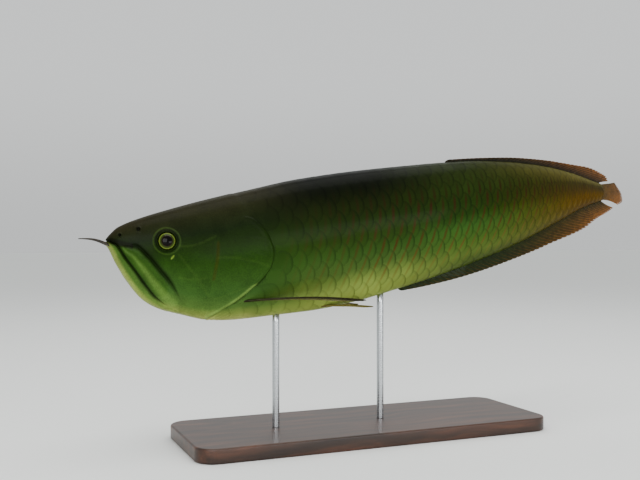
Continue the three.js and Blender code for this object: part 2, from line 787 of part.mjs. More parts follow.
// The parts, each with its own material
function part(name, solid, color, roughness, metalness = 0) {
  const made = new THREE.Mesh(toGeometry(solid), new THREE.MeshStandardMaterial({ color, roughness, metalness }));
  made.name = name;
  return made;
}
const fish = new THREE.Group();
const colourOf = {
  head: COLOURS.head,
  lower_jaw: COLOURS.jaw,
  maxilla_left: COLOURS.lip,
  maxilla_right: COLOURS.lip,
  gill_cover_left: COLOURS.cover,
  gill_cover_right: COLOURS.cover,
  eye_left: COLOURS.eye,
  eye_right: COLOURS.eye,
  trunk: COLOURS.trunk,
  tail: COLOURS.tail,
};
for (const [name, solid] of Object.entries({ ...headParts(), ...trunkAndTail() })) {
  fish.add(part(name, solid, colourOf[name], name.startsWith("eye") ? 0.1 : 0.35));
}
for (const [name, fin] of Object.entries(MEDIAN_FINS)) {
  fish.add(part(name, medianFin(fin), COLOURS.fin, 0.45));
}
fish.add(part("caudal_fin", caudalFin(), COLOURS.fin, 0.45));
for (const [side, word] of [[-1, "left"], [1, "right"]]) {
  fish.add(part(`pectoral_fin_${word}`, pairedFin(PECTORAL, side), COLOURS.finPale, 0.45));
  fish.add(part(`pelvic_fin_${word}`, pairedFin(PELVIC, side), COLOURS.finPale, 0.45));
  fish.add(part(`barbel_${word}`, barbel(side), COLOURS.barbel, 0.5));
}
fish.applyMatrix4(fishPose);

const model = new THREE.Group();
model.add(fish);
model.add(part("stand_base", standBase(), COLOURS.stand, 0.4));
for (const [word, s] of Object.entries(ROD_STATIONS)) {
  model.add(part(`stand_rod_${word}`, rod(s), COLOURS.rod, 0.25, 1));
}

export default model;
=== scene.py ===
# %% [markdown]
# This lesson dresses the solid model of a silver arowana, a long, flat-sided river fish with large scales,
# held over a wooden base by two rods. The solids give every size and place. Blender adds what solids can't
# show: skin, separate scales, eyes, fins with fine rays, wood and steel.

# %% Load the solids
import math

import bmesh
import bpy
import numpy as np
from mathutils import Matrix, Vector


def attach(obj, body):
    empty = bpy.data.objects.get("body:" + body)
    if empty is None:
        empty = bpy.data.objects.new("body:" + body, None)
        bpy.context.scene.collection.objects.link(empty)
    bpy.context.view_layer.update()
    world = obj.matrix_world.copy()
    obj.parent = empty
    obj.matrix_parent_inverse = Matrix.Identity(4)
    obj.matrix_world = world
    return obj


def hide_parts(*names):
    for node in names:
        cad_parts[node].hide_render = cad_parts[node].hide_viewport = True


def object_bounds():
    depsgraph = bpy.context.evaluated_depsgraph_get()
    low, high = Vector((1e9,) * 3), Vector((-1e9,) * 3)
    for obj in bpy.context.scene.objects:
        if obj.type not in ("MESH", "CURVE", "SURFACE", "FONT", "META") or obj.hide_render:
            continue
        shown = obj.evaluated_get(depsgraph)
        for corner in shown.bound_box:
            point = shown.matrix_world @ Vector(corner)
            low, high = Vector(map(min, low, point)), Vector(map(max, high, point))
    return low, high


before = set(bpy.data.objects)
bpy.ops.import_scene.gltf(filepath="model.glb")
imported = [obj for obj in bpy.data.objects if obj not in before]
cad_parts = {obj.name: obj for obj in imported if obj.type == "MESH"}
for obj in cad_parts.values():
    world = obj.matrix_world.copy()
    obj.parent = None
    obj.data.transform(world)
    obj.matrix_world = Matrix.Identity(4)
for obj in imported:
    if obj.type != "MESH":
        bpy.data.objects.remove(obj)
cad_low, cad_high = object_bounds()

MM = 0.001
box = [round((high - low) / MM) for low, high in zip(cad_low, cad_high)]
print(len(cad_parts), "solids; their box in mm:", box)

# %% [markdown]
# The photograph was taken through the front of a tank, level with the fish and a little ahead of its middle.
# The lens and the place of the camera were found by fitting the fish's outline, so they are given here as
# they are: a camera that looks level and is turned to the right, towards the fish's tail.

# %% Camera
IMAGE_WIDTH = 640
FOCAL_PIXELS = 850
CAMERA_PLACE = (-427.5, -908.8, 227.5)
CAMERA_TURN = math.radians(22.4)

camera = bpy.data.objects.new("camera", bpy.data.cameras.new("camera"))
bpy.context.scene.collection.objects.link(camera)
camera.data.lens = camera.data.sensor_width * FOCAL_PIXELS / IMAGE_WIDTH
camera.data.clip_end = 50  # metres, past the far end of the floor
camera.location = Vector(CAMERA_PLACE) * MM
camera.rotation_euler = (math.pi / 2, 0, -CAMERA_TURN)
bpy.context.scene.camera = camera
print("lens", round(camera.data.lens, 1), "mm")

# %% [markdown]
# Colours are given as sRGB hex values, the numbers that a colour picker shows, but Blender's shaders add up light,
# so they need linear values. One function turns the one into the other. Another adds a node with its settings and
# links, because every finish and every node tree here is written as a list of such nodes.

# %% Colour and node helpers
def linear(hex_colour):
    """An sRGB hex colour as linear red, green, blue and alpha, by the curve that sRGB is defined with."""
    channels = [int(hex_colour[i : i + 2], 16) / 255 for i in (1, 3, 5)]
    return tuple(c / 12.92 if c <= 0.04045 else ((c + 0.055) / 1.055) ** 2.4 for c in channels) + (1.0,)


def add_node(tree, kind, inputs=None, **settings):
    """Adds a node. settings are its own properties. inputs maps a socket's name or number to a value, to the
    output that is linked to it, or to a node, which stands for that node's first output."""
    node = tree.nodes.new(kind)
    for name, value in settings.items():
        setattr(node, name, value)
    for name, value in (inputs or {}).items():
        if isinstance(value, bpy.types.Node):
            value = value.outputs[0]
        if isinstance(value, bpy.types.NodeSocket):
            tree.links.new(value, node.inputs[name])
        else:
            node.inputs[name].default_value = value
    return node


def set_ramp(node, stops):
    """Puts (place, hex colour) stops on a colour ramp."""
    ramp = node.color_ramp
    while len(ramp.elements) < len(stops):
        ramp.elements.new(0.5)
    for element, (place, colour) in zip(ramp.elements, stops):
        element.position = place
        element.color = linear(colour)
    return node


def new_material(name):
    """An empty material and its node tree."""
    material = bpy.data.materials.new(name)
    material.use_nodes = True
    material.node_tree.nodes.clear()
    return material, material.node_tree


# A Mix node has sockets for numbers, vectors and colours under the same names, so colours go by number.
FACTOR, COLOUR_A, COLOUR_B, MIXED = 0, 6, 7, 2

print("a mid green in linear light:", [round(c, 3) for c in linear("#3c5d21")])

# %% [markdown]
# A plain pale floor and soft studio light. A large panel overhead gives the back its long soft sheen, as the
# tank's lamp does, and a wide panel beside the camera fills the side of the fish. The floor is matt paint,
# which takes soft shadows and gives back no glare. The backdrop darkens softly down to the floor's own tone,
# so that no line shows there from the front.

# %% Floor and lights
FLOOR_SIZE = 30.0  # metres
bpy.ops.mesh.primitive_plane_add(size=FLOOR_SIZE)
floor = bpy.context.object
floor.name = "floor"
floor_material, tree = new_material("pale matt floor")
matt_paint = add_node(tree, "ShaderNodeBsdfPrincipled", {"Base Color": linear("#e9eae8"), "Roughness": 0.85})
add_node(tree, "ShaderNodeOutputMaterial", {"Surface": matt_paint})
floor.data.materials.append(floor_material)

HORIZON_LIGHT, BACKDROP_LIGHT = 0.735, 0.9
FULL_LIGHT_UP = 0.2  # how far above the horizon the backdrop has its full light, as a share of straight up
world = bpy.data.worlds.new("studio")
world.use_nodes = True
background = world.node_tree.nodes["Background"]
background.inputs["Color"].default_value = linear("#e2e4e4")
direction = add_node(world.node_tree, "ShaderNodeTexCoord").outputs["Generated"]
up = add_node(world.node_tree, "ShaderNodeSeparateXYZ", {"Vector": direction}).outputs["Z"]
rise = {"Value": up, "From Max": FULL_LIGHT_UP, "To Min": HORIZON_LIGHT, "To Max": BACKDROP_LIGHT}
backdrop = add_node(world.node_tree, "ShaderNodeMapRange", rise, interpolation_type="SMOOTHSTEP")
world.node_tree.links.new(backdrop.outputs[0], background.inputs["Strength"])
bpy.context.scene.world = world
bpy.context.scene.view_settings.look = "AgX - Medium High Contrast"

LIGHTS = {
    # name: (place, aimed at, width, height, watts)
    "overhead panel": ((0.1, -0.15, 1.7), (0.05, 0.0, 0.2), 1.8, 0.9, 12),
    "side panel": ((-1.1, -1.7, 0.7), (0.0, 0.0, 0.2), 1.4, 1.0, 18),
    "low fill": ((0.6, -1.7, 0.25), (0.1, 0.0, 0.2), 1.4, 0.4, 8),
    "back panel": ((0.5, 1.4, 1.9), (0.1, 0.0, 0.25), 1.6, 0.9, 5),
}
for name, (place_of_light, target, width, height, watts) in LIGHTS.items():
    light = bpy.data.lights.new(name, "AREA")
    light.shape, light.size, light.size_y, light.energy = "RECTANGLE", width, height, watts
    lamp = bpy.data.objects.new(name, light)
    bpy.context.scene.collection.objects.link(lamp)
    lamp.location = place_of_light
    lamp.rotation_euler = (Vector(target) - Vector(place_of_light)).to_track_quat("-Z", "Y").to_euler()
print(len(LIGHTS), "lights")

# %% [markdown]
# The fish is drawn first in a frame of its own, in millimetres: shares of its length run back from the tip of
# the lower jaw, and heights are counted from its axis. A handful of points gives each outline, and a smooth
# line that never overshoots joins them. These are the same lines that the solids are made from, so skin and
# solids agree.

# %% The lines of the body
def through(*pairs):
    """A smooth line through (place, value) pairs that doesn't overshoot them."""
    xs, ys = np.array(pairs, float).T
    slope = np.diff(ys) / np.diff(xs)
    product = slope[:-1] * slope[1:]
    total = np.where(product > 0, slope[:-1] + slope[1:], 1)
    tangent = np.concatenate([slope[:1], np.where(product > 0, 2 * product / total, 0), slope[-1:]])

    def line(x):
        x = np.clip(x, xs[0], xs[-1])
        i = np.clip(np.searchsorted(xs, x, side="right") - 1, 0, len(xs) - 2)
        step = xs[i + 1] - xs[i]
        t = (x - xs[i]) / step
        start = (2 * t**3 - 3 * t**2 + 1) * ys[i] + (t**3 - 2 * t**2 + t) * step * tangent[i]
        return start + (3 * t**2 - 2 * t**3) * ys[i + 1] + (t**3 - t**2) * step * tangent[i + 1]

    return line


BODY_LENGTH = 700
HALF_WIDTH = 36
BACK_HEIGHT = 77
BELLY_DEPTH = 77

back_line = through(
    (0, 38), (0.008, 43), (0.022, 49.5), (0.055, 55.5), (0.104, 61), (0.16, 66), (0.24, 71.5), (0.32, 76),
    (0.4, BACK_HEIGHT), (0.55, 74.8), (0.64, 71.8), (0.72, 65.5), (0.82, 53), (0.9, 38.5), (0.965, 24), (1, 16.5),
)
belly_line = through(
    (0, 33), (0.004, 26), (0.011, 11), (0.023, -9), (0.039, -28), (0.06, -41.5), (0.095, -53), (0.14, -65.5),
    (0.18, -70.5), (0.25, -74), (0.33, -BELLY_DEPTH), (0.4, -75.5), (0.47, -71), (0.56, -63.5), (0.65, -54),
    (0.744, -41.5), (0.855, -23.5), (0.93, -12.5), (1, -8),
)
half_width = through(
    (0, 2.5), (0.006, 8), (0.02, 14), (0.045, 20.5), (0.084, 26.5), (0.12, 29.8), (0.17, 32.5), (0.25, 34.5),
    (0.38, HALF_WIDTH), (0.5, 35), (0.62, 30), (0.74, 22.5), (0.85, 14), (0.93, 8.2), (1, 4.6),
)
widest_at = through(
    (0, 35.5), (0.02, 24), (0.06, 13), (0.15, 5), (0.25, 6), (0.4, 11), (0.65, 13), (0.85, 11), (1, 4.3),
)
# How square the section is: 2 is an ellipse, more is boxier, less is more like a keel.
back_squareness = through((0, 2), (0.05, 2.5), (0.2, 2.4), (0.4, 2.1), (1, 2))
belly_squareness = through((0, 2), (0.06, 2.1), (0.15, 1.9), (0.3, 1.62), (0.6, 1.7), (1, 2))
print("deepest section", round(back_line(0.36) - belly_line(0.36)), "mm")

# %% [markdown]
# The fish swims nose down by a few degrees and turns its tail to its right. One function takes any point from
# the straight fish to its place over the stand, so every piece bends and tips alike.

# %% From the straight fish to its pose
TAIL_BEND = math.radians(20)
BEND_START = 0.5
BEND_POWER = 1.5  # the bend grows slowly at first
NOSE_DOWN = math.radians(8.35)
FISH_BALANCE = 0.42  # the share of the length that stands over the middle of the base
AXIS_LIFT = 190
MIDLINE_END, MIDLINE_STEPS = 1.12, 2000


def heading(s):
    """How far the midline has turned to the right at share s of the length."""
    past = np.clip((np.asarray(s, float) - BEND_START) / (1 - BEND_START), 0, None)
    return TAIL_BEND * past**BEND_POWER


midline_s = np.linspace(0, MIDLINE_END, MIDLINE_STEPS + 1)
midline_turn = heading((midline_s[1:] + midline_s[:-1]) / 2)
midline_step = midline_s[1] * BODY_LENGTH
midline_x = np.concatenate([[0], np.cumsum(np.cos(midline_turn))]) * midline_step
midline_y = np.concatenate([[0], np.cumsum(np.sin(midline_turn))]) * midline_step


def place(s, off, z):
    """The point at share s, off millimetres to the fish's right and z up, posed over the stand, in metres."""
    s, off, z = np.broadcast_arrays(*(np.asarray(v, float) for v in (s, off, z)))
    turn = heading(s)
    x = np.interp(s, midline_s, midline_x) + np.minimum(s, 0) * BODY_LENGTH - off * np.sin(turn)
    y = np.interp(s, midline_s, midline_y) + off * np.cos(turn)
    level, down = math.cos(NOSE_DOWN), math.sin(NOSE_DOWN)
    forward = x * level - z * down - FISH_BALANCE * BODY_LENGTH * level
    height = x * down + z * level + AXIS_LIFT
    return np.stack([forward, y, height], -1) * MM


tail_root = place(1, 0, 4)
print("tail root at", [round(c / MM) for c in tail_root], "mm")

# %% [markdown]
# A scale or a fin is placed by how far it is round the body from the back, so each section is measured along
# its own outline.

# %% Round the body
LEAST_HALF = 0.4  # no section is thinner than this, so that none closes to a line
SECTION_ANGLES = np.linspace(0, math.pi, 361)


def outline(s, angle, swell=0.0):
    """Half of the body's section at share s: the angle runs from 0 on the back to pi on the belly."""
    up, across = np.cos(angle), np.sin(angle)
    middle = widest_at(s)
    edge = np.where(up >= 0, back_line(s), belly_line(s))
    reach = 2 / np.where(up >= 0, back_squareness(s), belly_squareness(s))
    width = np.maximum(LEAST_HALF, half_width(s) + swell)
    height = np.maximum(LEAST_HALF, np.abs(edge - middle) + swell)
    return width * np.abs(across) ** reach, middle + height * np.sign(up) * np.abs(up) ** reach


def ring(s, swell=0.0):
    """The half section at share s, with the distance run along it from the back."""
    off, z = outline(s, SECTION_ANGLES, swell)
    run = np.concatenate([[0], np.cumsum(np.hypot(np.diff(off), np.diff(z)))])
    return run, off, z


def on_ring(half, run):
    """Points at distances from the back along a half section. A distance past either end is on the other side."""
    length, off, z = half
    total = length[-1]
    folded = np.where(run < 0, -run, np.where(run > total, 2 * total - run, run))
    side = np.where((run < 0) | (run > total), -1.0, 1.0)
    return side * np.interp(folded, length, off), np.interp(folded, length, z)


print("half way round at the deepest section:", round(ring(0.36)[0][-1]), "mm")

# %% [markdown]
# The head's seams are drawn from the side, as lines in the fish's frame: the mouth between the lower jaw and
# the long bone of the upper jaw, the fold behind that bone, the front and the free edge of the gill cover, and
# the seams of the cheek. Each is a few points in millimetres, back from the jaw's tip and up from the axis.

# %% The lines of the head
MOUTH_LINE = [
    (-4, 39), (4.5, 34.5), (9.5, 30), (15.4, 16.6), (23, 2), (31, -14), (40, -29), (49, -38.5), (54, -42),
]
CHEEK_LINE = [
    (21, 28.5), (28.7, 26.3), (39, 12.2), (47, -1.6), (55, -14.6), (61.6, -29.5), (64.5, -38), (64, -42.5),
]
SNOUT_EDGE = [(5, 36.5), (12, 33), (21, 29.2), (30, 26)]
COVER_FRONT = [(92, -59), (96, -40), (102, -19), (109, 4), (113, 25), (117, 36)]
GILL_EDGE = [(148, 42), (157, 36), (168, 18), (171, -4), (160, -24), (130, -45), (104, -57), (88, -64)]
TEAR_FOLD = [(58.2, 8.0), (62.4, 10.6), (65.8, 15.6)]
# The scales begin a little behind the gill cover.
SCALES_START = [
    (134, 95), (142, 74), (150, 56), (157, 44), (162, 36), (171, 18), (174, -4), (164, -24), (134, -45),
    (110, -56), (98, -66), (90, -78), (84, -90),
]
CHEEK_SEAMS = [
    [(71, 21), (84, 19.5), (98, 22), (110, 26)],
    [(69, 12), (78, -4), (88, -22), (95, -38)],
    [(66, -12), (80, -16), (94, -17)],
    [(110, 3), (128, 0), (150, -8), (163, -14)],
    [(100, -42), (118, -38), (138, -34), (152, -30)],
]
print(len(CHEEK_SEAMS), "seams on each cheek")

# %% [markdown]
# Every line is turned into a distance in millimetres that the relief and the colours both read, so that the
# painted shade of a groove lies exactly where it is deep. Two soft steps then turn a distance into an amount: a
# bump, which is 1 on the line, and an ease, which goes from 0 on its one side to 1 on its other.

# %% How far from a line
def smooth_line(pairs, count):
    """Points spread along a smooth curve through a few (x, z) pairs."""
    pairs = np.array(pairs, float)
    padded = np.vstack([2 * pairs[0] - pairs[1], pairs, 2 * pairs[-1] - pairs[-2]])
    just_inside = 1.000001  # the last point stays in the last piece of the curve
    t = np.linspace(0, len(pairs) - just_inside, count)
    i = t.astype(int)
    t = (t - i)[:, None]
    a, b, c, d = (padded[i + k] for k in range(4))
    return 0.5 * (2 * b + (c - a) * t + (2 * a - 5 * b + 4 * c - d) * t**2 + (3 * b - a - 3 * c + d) * t**3)


def against(x, z, corners):
    """Points against each straight piece of a line: its start and step, the way from its start, how far along
    it they are, and the gap."""
    start, step = corners[:-1], np.diff(corners, axis=0)
    away = x[:, None] - start[:, 0], z[:, None] - start[:, 1]
    along = np.clip((away[0] * step[:, 0] + away[1] * step[:, 1]) / (step**2).sum(1), 0, 1)
    return start, step, away, along, np.hypot(away[0] - along * step[:, 0], away[1] - along * step[:, 1])


def line_distance(x, z, line, count=40):
    """Signed distance from points to a line, above zero on its rear side, and how far along the line they are."""
    _, step, away, along, gap = against(x, z, smooth_line(line, count))
    nearest = gap.argmin(1)
    row = np.arange(len(x))
    turn = step[nearest, 0] * away[1][row, nearest] - step[nearest, 1] * away[0][row, nearest]
    return np.sign(turn) * gap[row, nearest], (nearest + along[row, nearest]) / len(step)


def inside(x, z, polygon):
    """Signed distance to a closed outline, above zero inside."""
    start, step, _, _, gap = against(x, z, np.array([*polygon, polygon[0]], float))
    gap = gap.min(1)
    low, high = start[:, 1], start[:, 1] + step[:, 1]
    crosses = (low > z[:, None]) != (high > z[:, None])
    rise = np.where(step[:, 1] == 0, 1, step[:, 1])
    at = start[:, 0] + step[:, 0] * (z[:, None] - start[:, 1]) / rise
    odd = (crosses & (x[:, None] < at)).sum(1) % 2 == 1
    return np.where(odd, gap, -gap)


def bump(distance, width):
    """1 on a line, falling smoothly to 0 at about one and a half widths."""
    return np.exp(-((distance / width) ** 2))


def ease(value, low, high):
    """0 below low, 1 above high and smooth between."""
    t = np.clip((value - low) / (high - low), 0, 1)
    return t * t * (3 - 2 * t)


# The upper jaw's bone lies between two of the lines, which meet above it.
MAXILLA = [
    *[p for p in smooth_line(MOUTH_LINE, 60)[::-1] if p[0] > MOUTH_LINE[2][0]],
    (20, 29.5),
    *[p for p in smooth_line(CHEEK_LINE, 50) if p[0] > CHEEK_LINE[1][0]],
]
COVER_ROOM = [*smooth_line(COVER_FRONT, 30), (133, 42), (210, 42), (210, -80), (86, -80)]
print("the upper jaw's bone is", round(math.dist(MOUTH_LINE[2], MOUTH_LINE[-1])), "mm long")

# %% [markdown]
# The skin is one closed mesh, because a seam between flesh parts would show. It is laid out flat first, as
# shares of the length against shares of the way round, and cut finer only round the eyes, the nostrils and the
# seams of the head. Then every point goes to its place on the body, and the relief moves it in or out.

# %% Lay the skin out flat
ROUND_STEPS = 88  # from the back to the belly on each side
SKIN_DEPTH = 0.6  # how far the skin lies under the outline where scales cover it
FIRST_STATION, LAST_GAP = 0.35, 4
station_step = through((0, 0.4), (40, 1.5), (185, 1.6), (235, 4.5), (700, 4.5))
stations = [FIRST_STATION]
while stations[-1] < BODY_LENGTH - LAST_GAP:
    stations.append(stations[-1] + float(station_step(stations[-1])))
stations = np.array([*stations, BODY_LENGTH]) / BODY_LENGTH

flat = bmesh.new()
shares_round = np.linspace(-1, 1, 2 * ROUND_STEPS + 1)
grid = [[flat.verts.new((s, v, 0)) for v in shares_round] for s in stations]
for before, after in zip(grid, grid[1:]):
    for k in range(2 * ROUND_STEPS):
        flat.faces.new((before[k], before[k + 1], after[k + 1], after[k]))
print(len(stations), "rings of", len(shares_round), "points")

# %% [markdown]
# Finer cuts go where the finest forms are: once along the seams and round the eyes and nostrils, and once more
# close to the eyes and nostrils. To tell which points those are, the flat sheet is wrapped round the straight
# fish.

# %% Cut the skin finer on the head
EYE = {"x": 59, "z": 28.2, "radius": 9.3, "sink": 2.3}
NOSTRILS = [{"x": 14, "z": 41, "radius": 1.5}, {"x": 33, "z": 44.5, "radius": 1.9}]
SEAM_REACH = 4
# How far round an eye and a nostril each of the two cuts reaches, in millimetres.
CUTS = [(16, 6), (13, 4)]
SAME_RING = 1e-9  # points closer than this in share of the length are on one ring


def straight(s, v):
    """Straight-fish x, off and z of points at share s; v runs from -1 on the belly, by the left side, to 1."""
    off, z = np.empty_like(s), np.empty_like(s)
    order = np.argsort(s, kind="stable")
    starts = np.flatnonzero(np.concatenate([[True], np.diff(s[order]) > SAME_RING]))
    for group in np.split(order, starts[1:]):
        half = ring(s[group[0]])
        off[group], z[group] = on_ring(half, np.abs(v[group]) * half[0][-1])
    return s * BODY_LENGTH, off * np.sign(v), z


def to_spot(x, z, spot):
    """How far points on the side are from the middle of an eye or a nostril."""
    return np.hypot(x - spot["x"], z - spot["z"])


def flat_places(mesh):
    """The share of the length and the share of the way round of each point of the flat skin."""
    co = np.array([v.co[:2] for v in mesh.verts])
    return co[:, 0], co[:, 1]


for eye_reach, nostril_reach in CUTS:
    flat.verts.index_update()
    x, off, z = straight(*flat_places(flat))
    wanted = to_spot(x, z, EYE) < eye_reach
    for spot in NOSTRILS:
        wanted |= to_spot(x, z, spot) < nostril_reach
    if (eye_reach, nostril_reach) == CUTS[0]:
        for line in (MOUTH_LINE, CHEEK_LINE, GILL_EDGE, COVER_FRONT):
            wanted |= np.abs(line_distance(x, z, line)[0]) < SEAM_REACH
    edges = [e for e in flat.edges if all(wanted[p.index] for p in e.verts)]
    bmesh.ops.subdivide_edges(flat, edges=edges, cuts=1, use_grid_fill=True)
flat.verts.index_update()
s, v = flat_places(flat)
x, off, z = straight(s, v)
print(len(flat.verts), "points,", len(flat.faces), "faces")

# %% [markdown]
# The relief of the head is a sum of small rises and grooves, each a smooth function of a distance. So the
# distances come first: every point of the skin is measured against every line.

# %% Distances to the lines of the head
mouth, mouth_along = line_distance(x, z, MOUTH_LINE)
cheek, cheek_along = line_distance(x, z, CHEEK_LINE)
snout, _ = line_distance(x, z, SNOUT_EDGE)
gill, _ = line_distance(x, z, GILL_EDGE)
cover_front, _ = line_distance(x, z, COVER_FRONT)
tear, tear_along = line_distance(x, z, TEAR_FOLD, 12)
seams = np.min([np.abs(line_distance(x, z, line, 14)[0]) for line in CHEEK_SEAMS], axis=0)
bone = inside(x, z, MAXILLA)
cover = np.minimum(-gill, inside(x, z, COVER_ROOM))
across_bone = np.abs(mouth) / (np.abs(mouth) + np.abs(cheek) + 1e-6)
from_eye = to_spot(x, z, EYE)
print("the mouth runs back to", round(float(x[np.abs(mouth) < 1].max())), "mm")

# %% [markdown]
# The long bone of the upper jaw stands proud with faint long ridges, and sinks into the corner of the jaw at
# its lower end, where its two seams run out. The lower jaw has a lip along the mouth, faint folds beside the
# lip and a raised rim below. In these lines the first number is a height in millimetres, and the numbers in
# bump and ease are places and widths in millimetres, or shares of the way along a line.

# %% Relief of the jaws
BONE_RIDGES = 3
JAW_FOLD = 4.6  # from one fold of the lower jaw to the next
runs_out = 1 - ease(mouth_along, 0.72, 1.0)
on_bone = ease(bone, -0.4, 1.6) * (0.25 + 0.75 * runs_out)
relief = on_bone * (0.95 + 0.13 * np.cos(2 * math.pi * BONE_RIDGES * across_bone))
relief -= 1.6 * bump(mouth, 1.0) * (1 - ease(mouth_along, 0.78, 1))
relief += 0.75 * bump(mouth + 2.1, 1.2) * (1 - ease(mouth_along, 0.9, 1))
behind_bone = ease(bone, -6, -1) * ease(x, 22, 30) * (1 - ease(cheek_along, 0.6, 0.96))
relief -= 1.3 * bump(cheek - 0.4, 1.4) * behind_bone
relief += 0.4 * bump(cheek - 3.4, 1.6) * ease(x, 30, 38) * ease(-bone, 0, 2)
on_jaw = ease(-mouth, 0.5, 2.5) * (1 - ease(x, 62, 72)) * ease(-(z - 36), 0, 3)
relief += on_jaw * 0.16 * np.cos(2 * math.pi * mouth / JAW_FOLD) * ease(-mouth, 2, 5)
relief += 0.8 * bump(z - belly_line(s) - 3.5, 2.2) * ease(x, 8, 16) * (1 - ease(x, 60, 76))
print("the jaws' relief runs from", round(relief.min(), 1), "to", round(relief.max(), 1), "mm")

# %% [markdown]
# The gill cover's hem stands proud all along, and most where the gill opens, and the shoulder drops behind it.
# The cover has a soft welt along its free edge and faint ribs that fan out from its hinge. Thin seams cross the
# cheek, and the folds of the throat run under the covers.

# %% Relief of the gill covers
HINGE = {"x": 116, "z": 30}
RIBS_AROUND = 46
THROAT_FOLD = 3.4  # from one fold of the throat to the next
lifted = np.maximum(1.1 * ease(x, 106, 160), 0.9 * bump(gill, 10) * ease(x, 84, 100))
on_cover = ease(cover, -0.7, 0.9)
relief += on_cover * lifted
shoulder = ease(-cover, 0, 0.5) * ease(x, 84, 100) * ease(44 - z, 0, 8)
relief -= 0.6 * bump(gill - 1.5, 1.4) * shoulder
below_top = ease(24 - z, 0, 18)
relief += 0.2 * bump(cover_front + 1.2, 2.2) * below_top
relief -= 0.25 * bump(cover_front - 1.2, 1.3) * below_top
relief += 0.25 * bump(gill + 3.2, 1.2) * on_cover
relief -= 0.22 * bump(gill + 5.8, 0.9) * on_cover
fan = np.arctan2(z - HINGE["z"], x - HINGE["x"])
relief += 0.07 * np.cos(fan * RIBS_AROUND) * on_cover * ease(to_spot(x, z, HINGE), 12, 24) * ease(-gill, 5, 12)

on_head = 1 - ease(x, 172, 186)
relief -= 0.09 * bump(seams, 1.1) * on_head
under_cover = ease(gill, 1.5, 3) * (1 - ease(gill, 12, 15))
throat = under_cover * ease(x, 78, 92) * (1 - ease(x, 128, 142)) * ease(-z, 48, 54)
relief += 0.3 * np.cos(2 * math.pi * gill / THROAT_FOLD) * throat
print("with the gill covers, to", round(relief.max(), 1), "mm")

# %% [markdown]
# The skin dips into the socket, where the eye fills it, and rises in rings round it. A short fold lies under
# the rear of the eye. Each nostril is a pit in a low ring.

# %% Relief round the eyes and nostrils
radius = EYE["radius"]
at_side = ease(np.abs(off), 6, 10)
relief = np.where(from_eye < 13.5, relief * ease(from_eye, 11, 13.5), relief)
for height, out, width in ((1.0, 1.1, 0.8), (-0.5, 3.0, 0.9), (0.3, 4.8, 0.9)):
    relief += at_side * height * bump(from_eye - radius - out, width)
relief -= at_side * 4.5 * (1 - ease(from_eye, radius - 1.1, radius + 0.2))
relief += at_side * 0.4 * bump(tear, 1.0) * ease(tear_along, 0, 0.25) * (1 - ease(tear_along, 0.6, 1))
for spot in NOSTRILS:
    gap = to_spot(x, z, spot)
    relief += 0.55 * bump(gap - spot["radius"] - 0.6, 0.7)
    relief -= 1.3 * (1 - ease(gap, spot["radius"] - 0.9, spot["radius"] + 0.1))
relief *= on_head
behind_start, _ = line_distance(x, z, SCALES_START)
relief -= SKIN_DEPTH * ease(behind_start, -4, 2)
print("relief runs from", round(relief.min(), 1), "to", round(relief.max(), 1), "mm")

# %% [markdown]
# The colours read the same distances. Where a line has to fade out, an amount is added to its distance, which
# takes it out of reach of its colour.

# %% Distances that the colours read
RIM_AT = (0.0, 0.004, 0.011, 0.023, 0.039, 0.06, 0.095, 0.13)  # shares of the length, down the chin
rim, _ = line_distance(x, z, [(at * BODY_LENGTH, float(belly_line(at))) for at in RIM_AT])
under_bone = 30 * ease(-bone, 0, 3) + 5 * (1 - ease(mouth_along, 0.15, 0.75))
tear_ends = 3 * (1 - ease(tear_along, 0, 0.25)) + 3 * ease(tear_along, 0.6, 1)
marks = {
    "jaw_mm": mouth,
    "mouth_mm": np.abs(mouth - 0.3) + 3.2 * ease(mouth_along, 0.7, 1),
    "cheek_mm": np.abs(cheek - 1.2) + 5.2 * ease(cheek_along, 0.45, 0.98) + 50 * (1 - ease(x, 21, 23)),
    "snout_mm": np.abs(snout) + 60 * ease(x, 24, 30),
    "rim_mm": np.abs(rim) + 30 * ease(x, 70, 100),
    "hem_mm": np.abs(gill + 1.4) + 60 * ease(z, -34, -8) + 60 * (1 - ease(x, 84, 92)),
    "bone_mm": bone - 26 * (1 - runs_out),
    "ridge_mm": np.abs(0.42 - across_bone) * (np.abs(mouth) + np.abs(cheek)) + under_bone,
    "gill_mm": np.abs(gill - 0.9) + 60 * ease(z, 34, 44) + 60 * (1 - ease(x, 84, 90)),
    "cover_front_mm": np.abs(cover_front) + 20 * ease(z, 16, 42) + 60 * (1 - ease(z, -30, -20)),
    "seam_mm": seams,
    "eye_mm": from_eye,
    "nostril_mm": np.min([to_spot(x, z, spot) - spot["radius"] for spot in NOSTRILS], axis=0),
    "tear_mm": np.abs(tear) + tear_ends,
}
drop = (back_line(s) - z) / (back_line(s) - belly_line(s))
print(len(marks), "distances stored")

# %% [markdown]
# The flat sheet goes to its place on the posed fish, the relief moves each point along its normal, and the two
# edges that meet along the belly are merged. The distances are stored on the points first, so that they stay
# with them.

# %% Put the skin in place
WELD = 2e-6  # metres; closer points are one
for vertex, point in zip(flat.verts, place(s, off, z)):
    vertex.co = point
skin_mesh = bpy.data.meshes.new("fish skin")
flat.normal_update()
flat.to_mesh(skin_mesh)
flat.free()
normals = np.empty(3 * len(skin_mesh.vertices), np.float32)
skin_mesh.vertex_normals.foreach_get("vector", normals)
normals = normals.reshape(-1, 3)
outward = np.sign((normals * (place(s, off, z) - place(s, 0, widest_at(s)))).sum(1))
if outward.sum() < 0:
    skin_mesh.flip_normals()
    normals = -normals
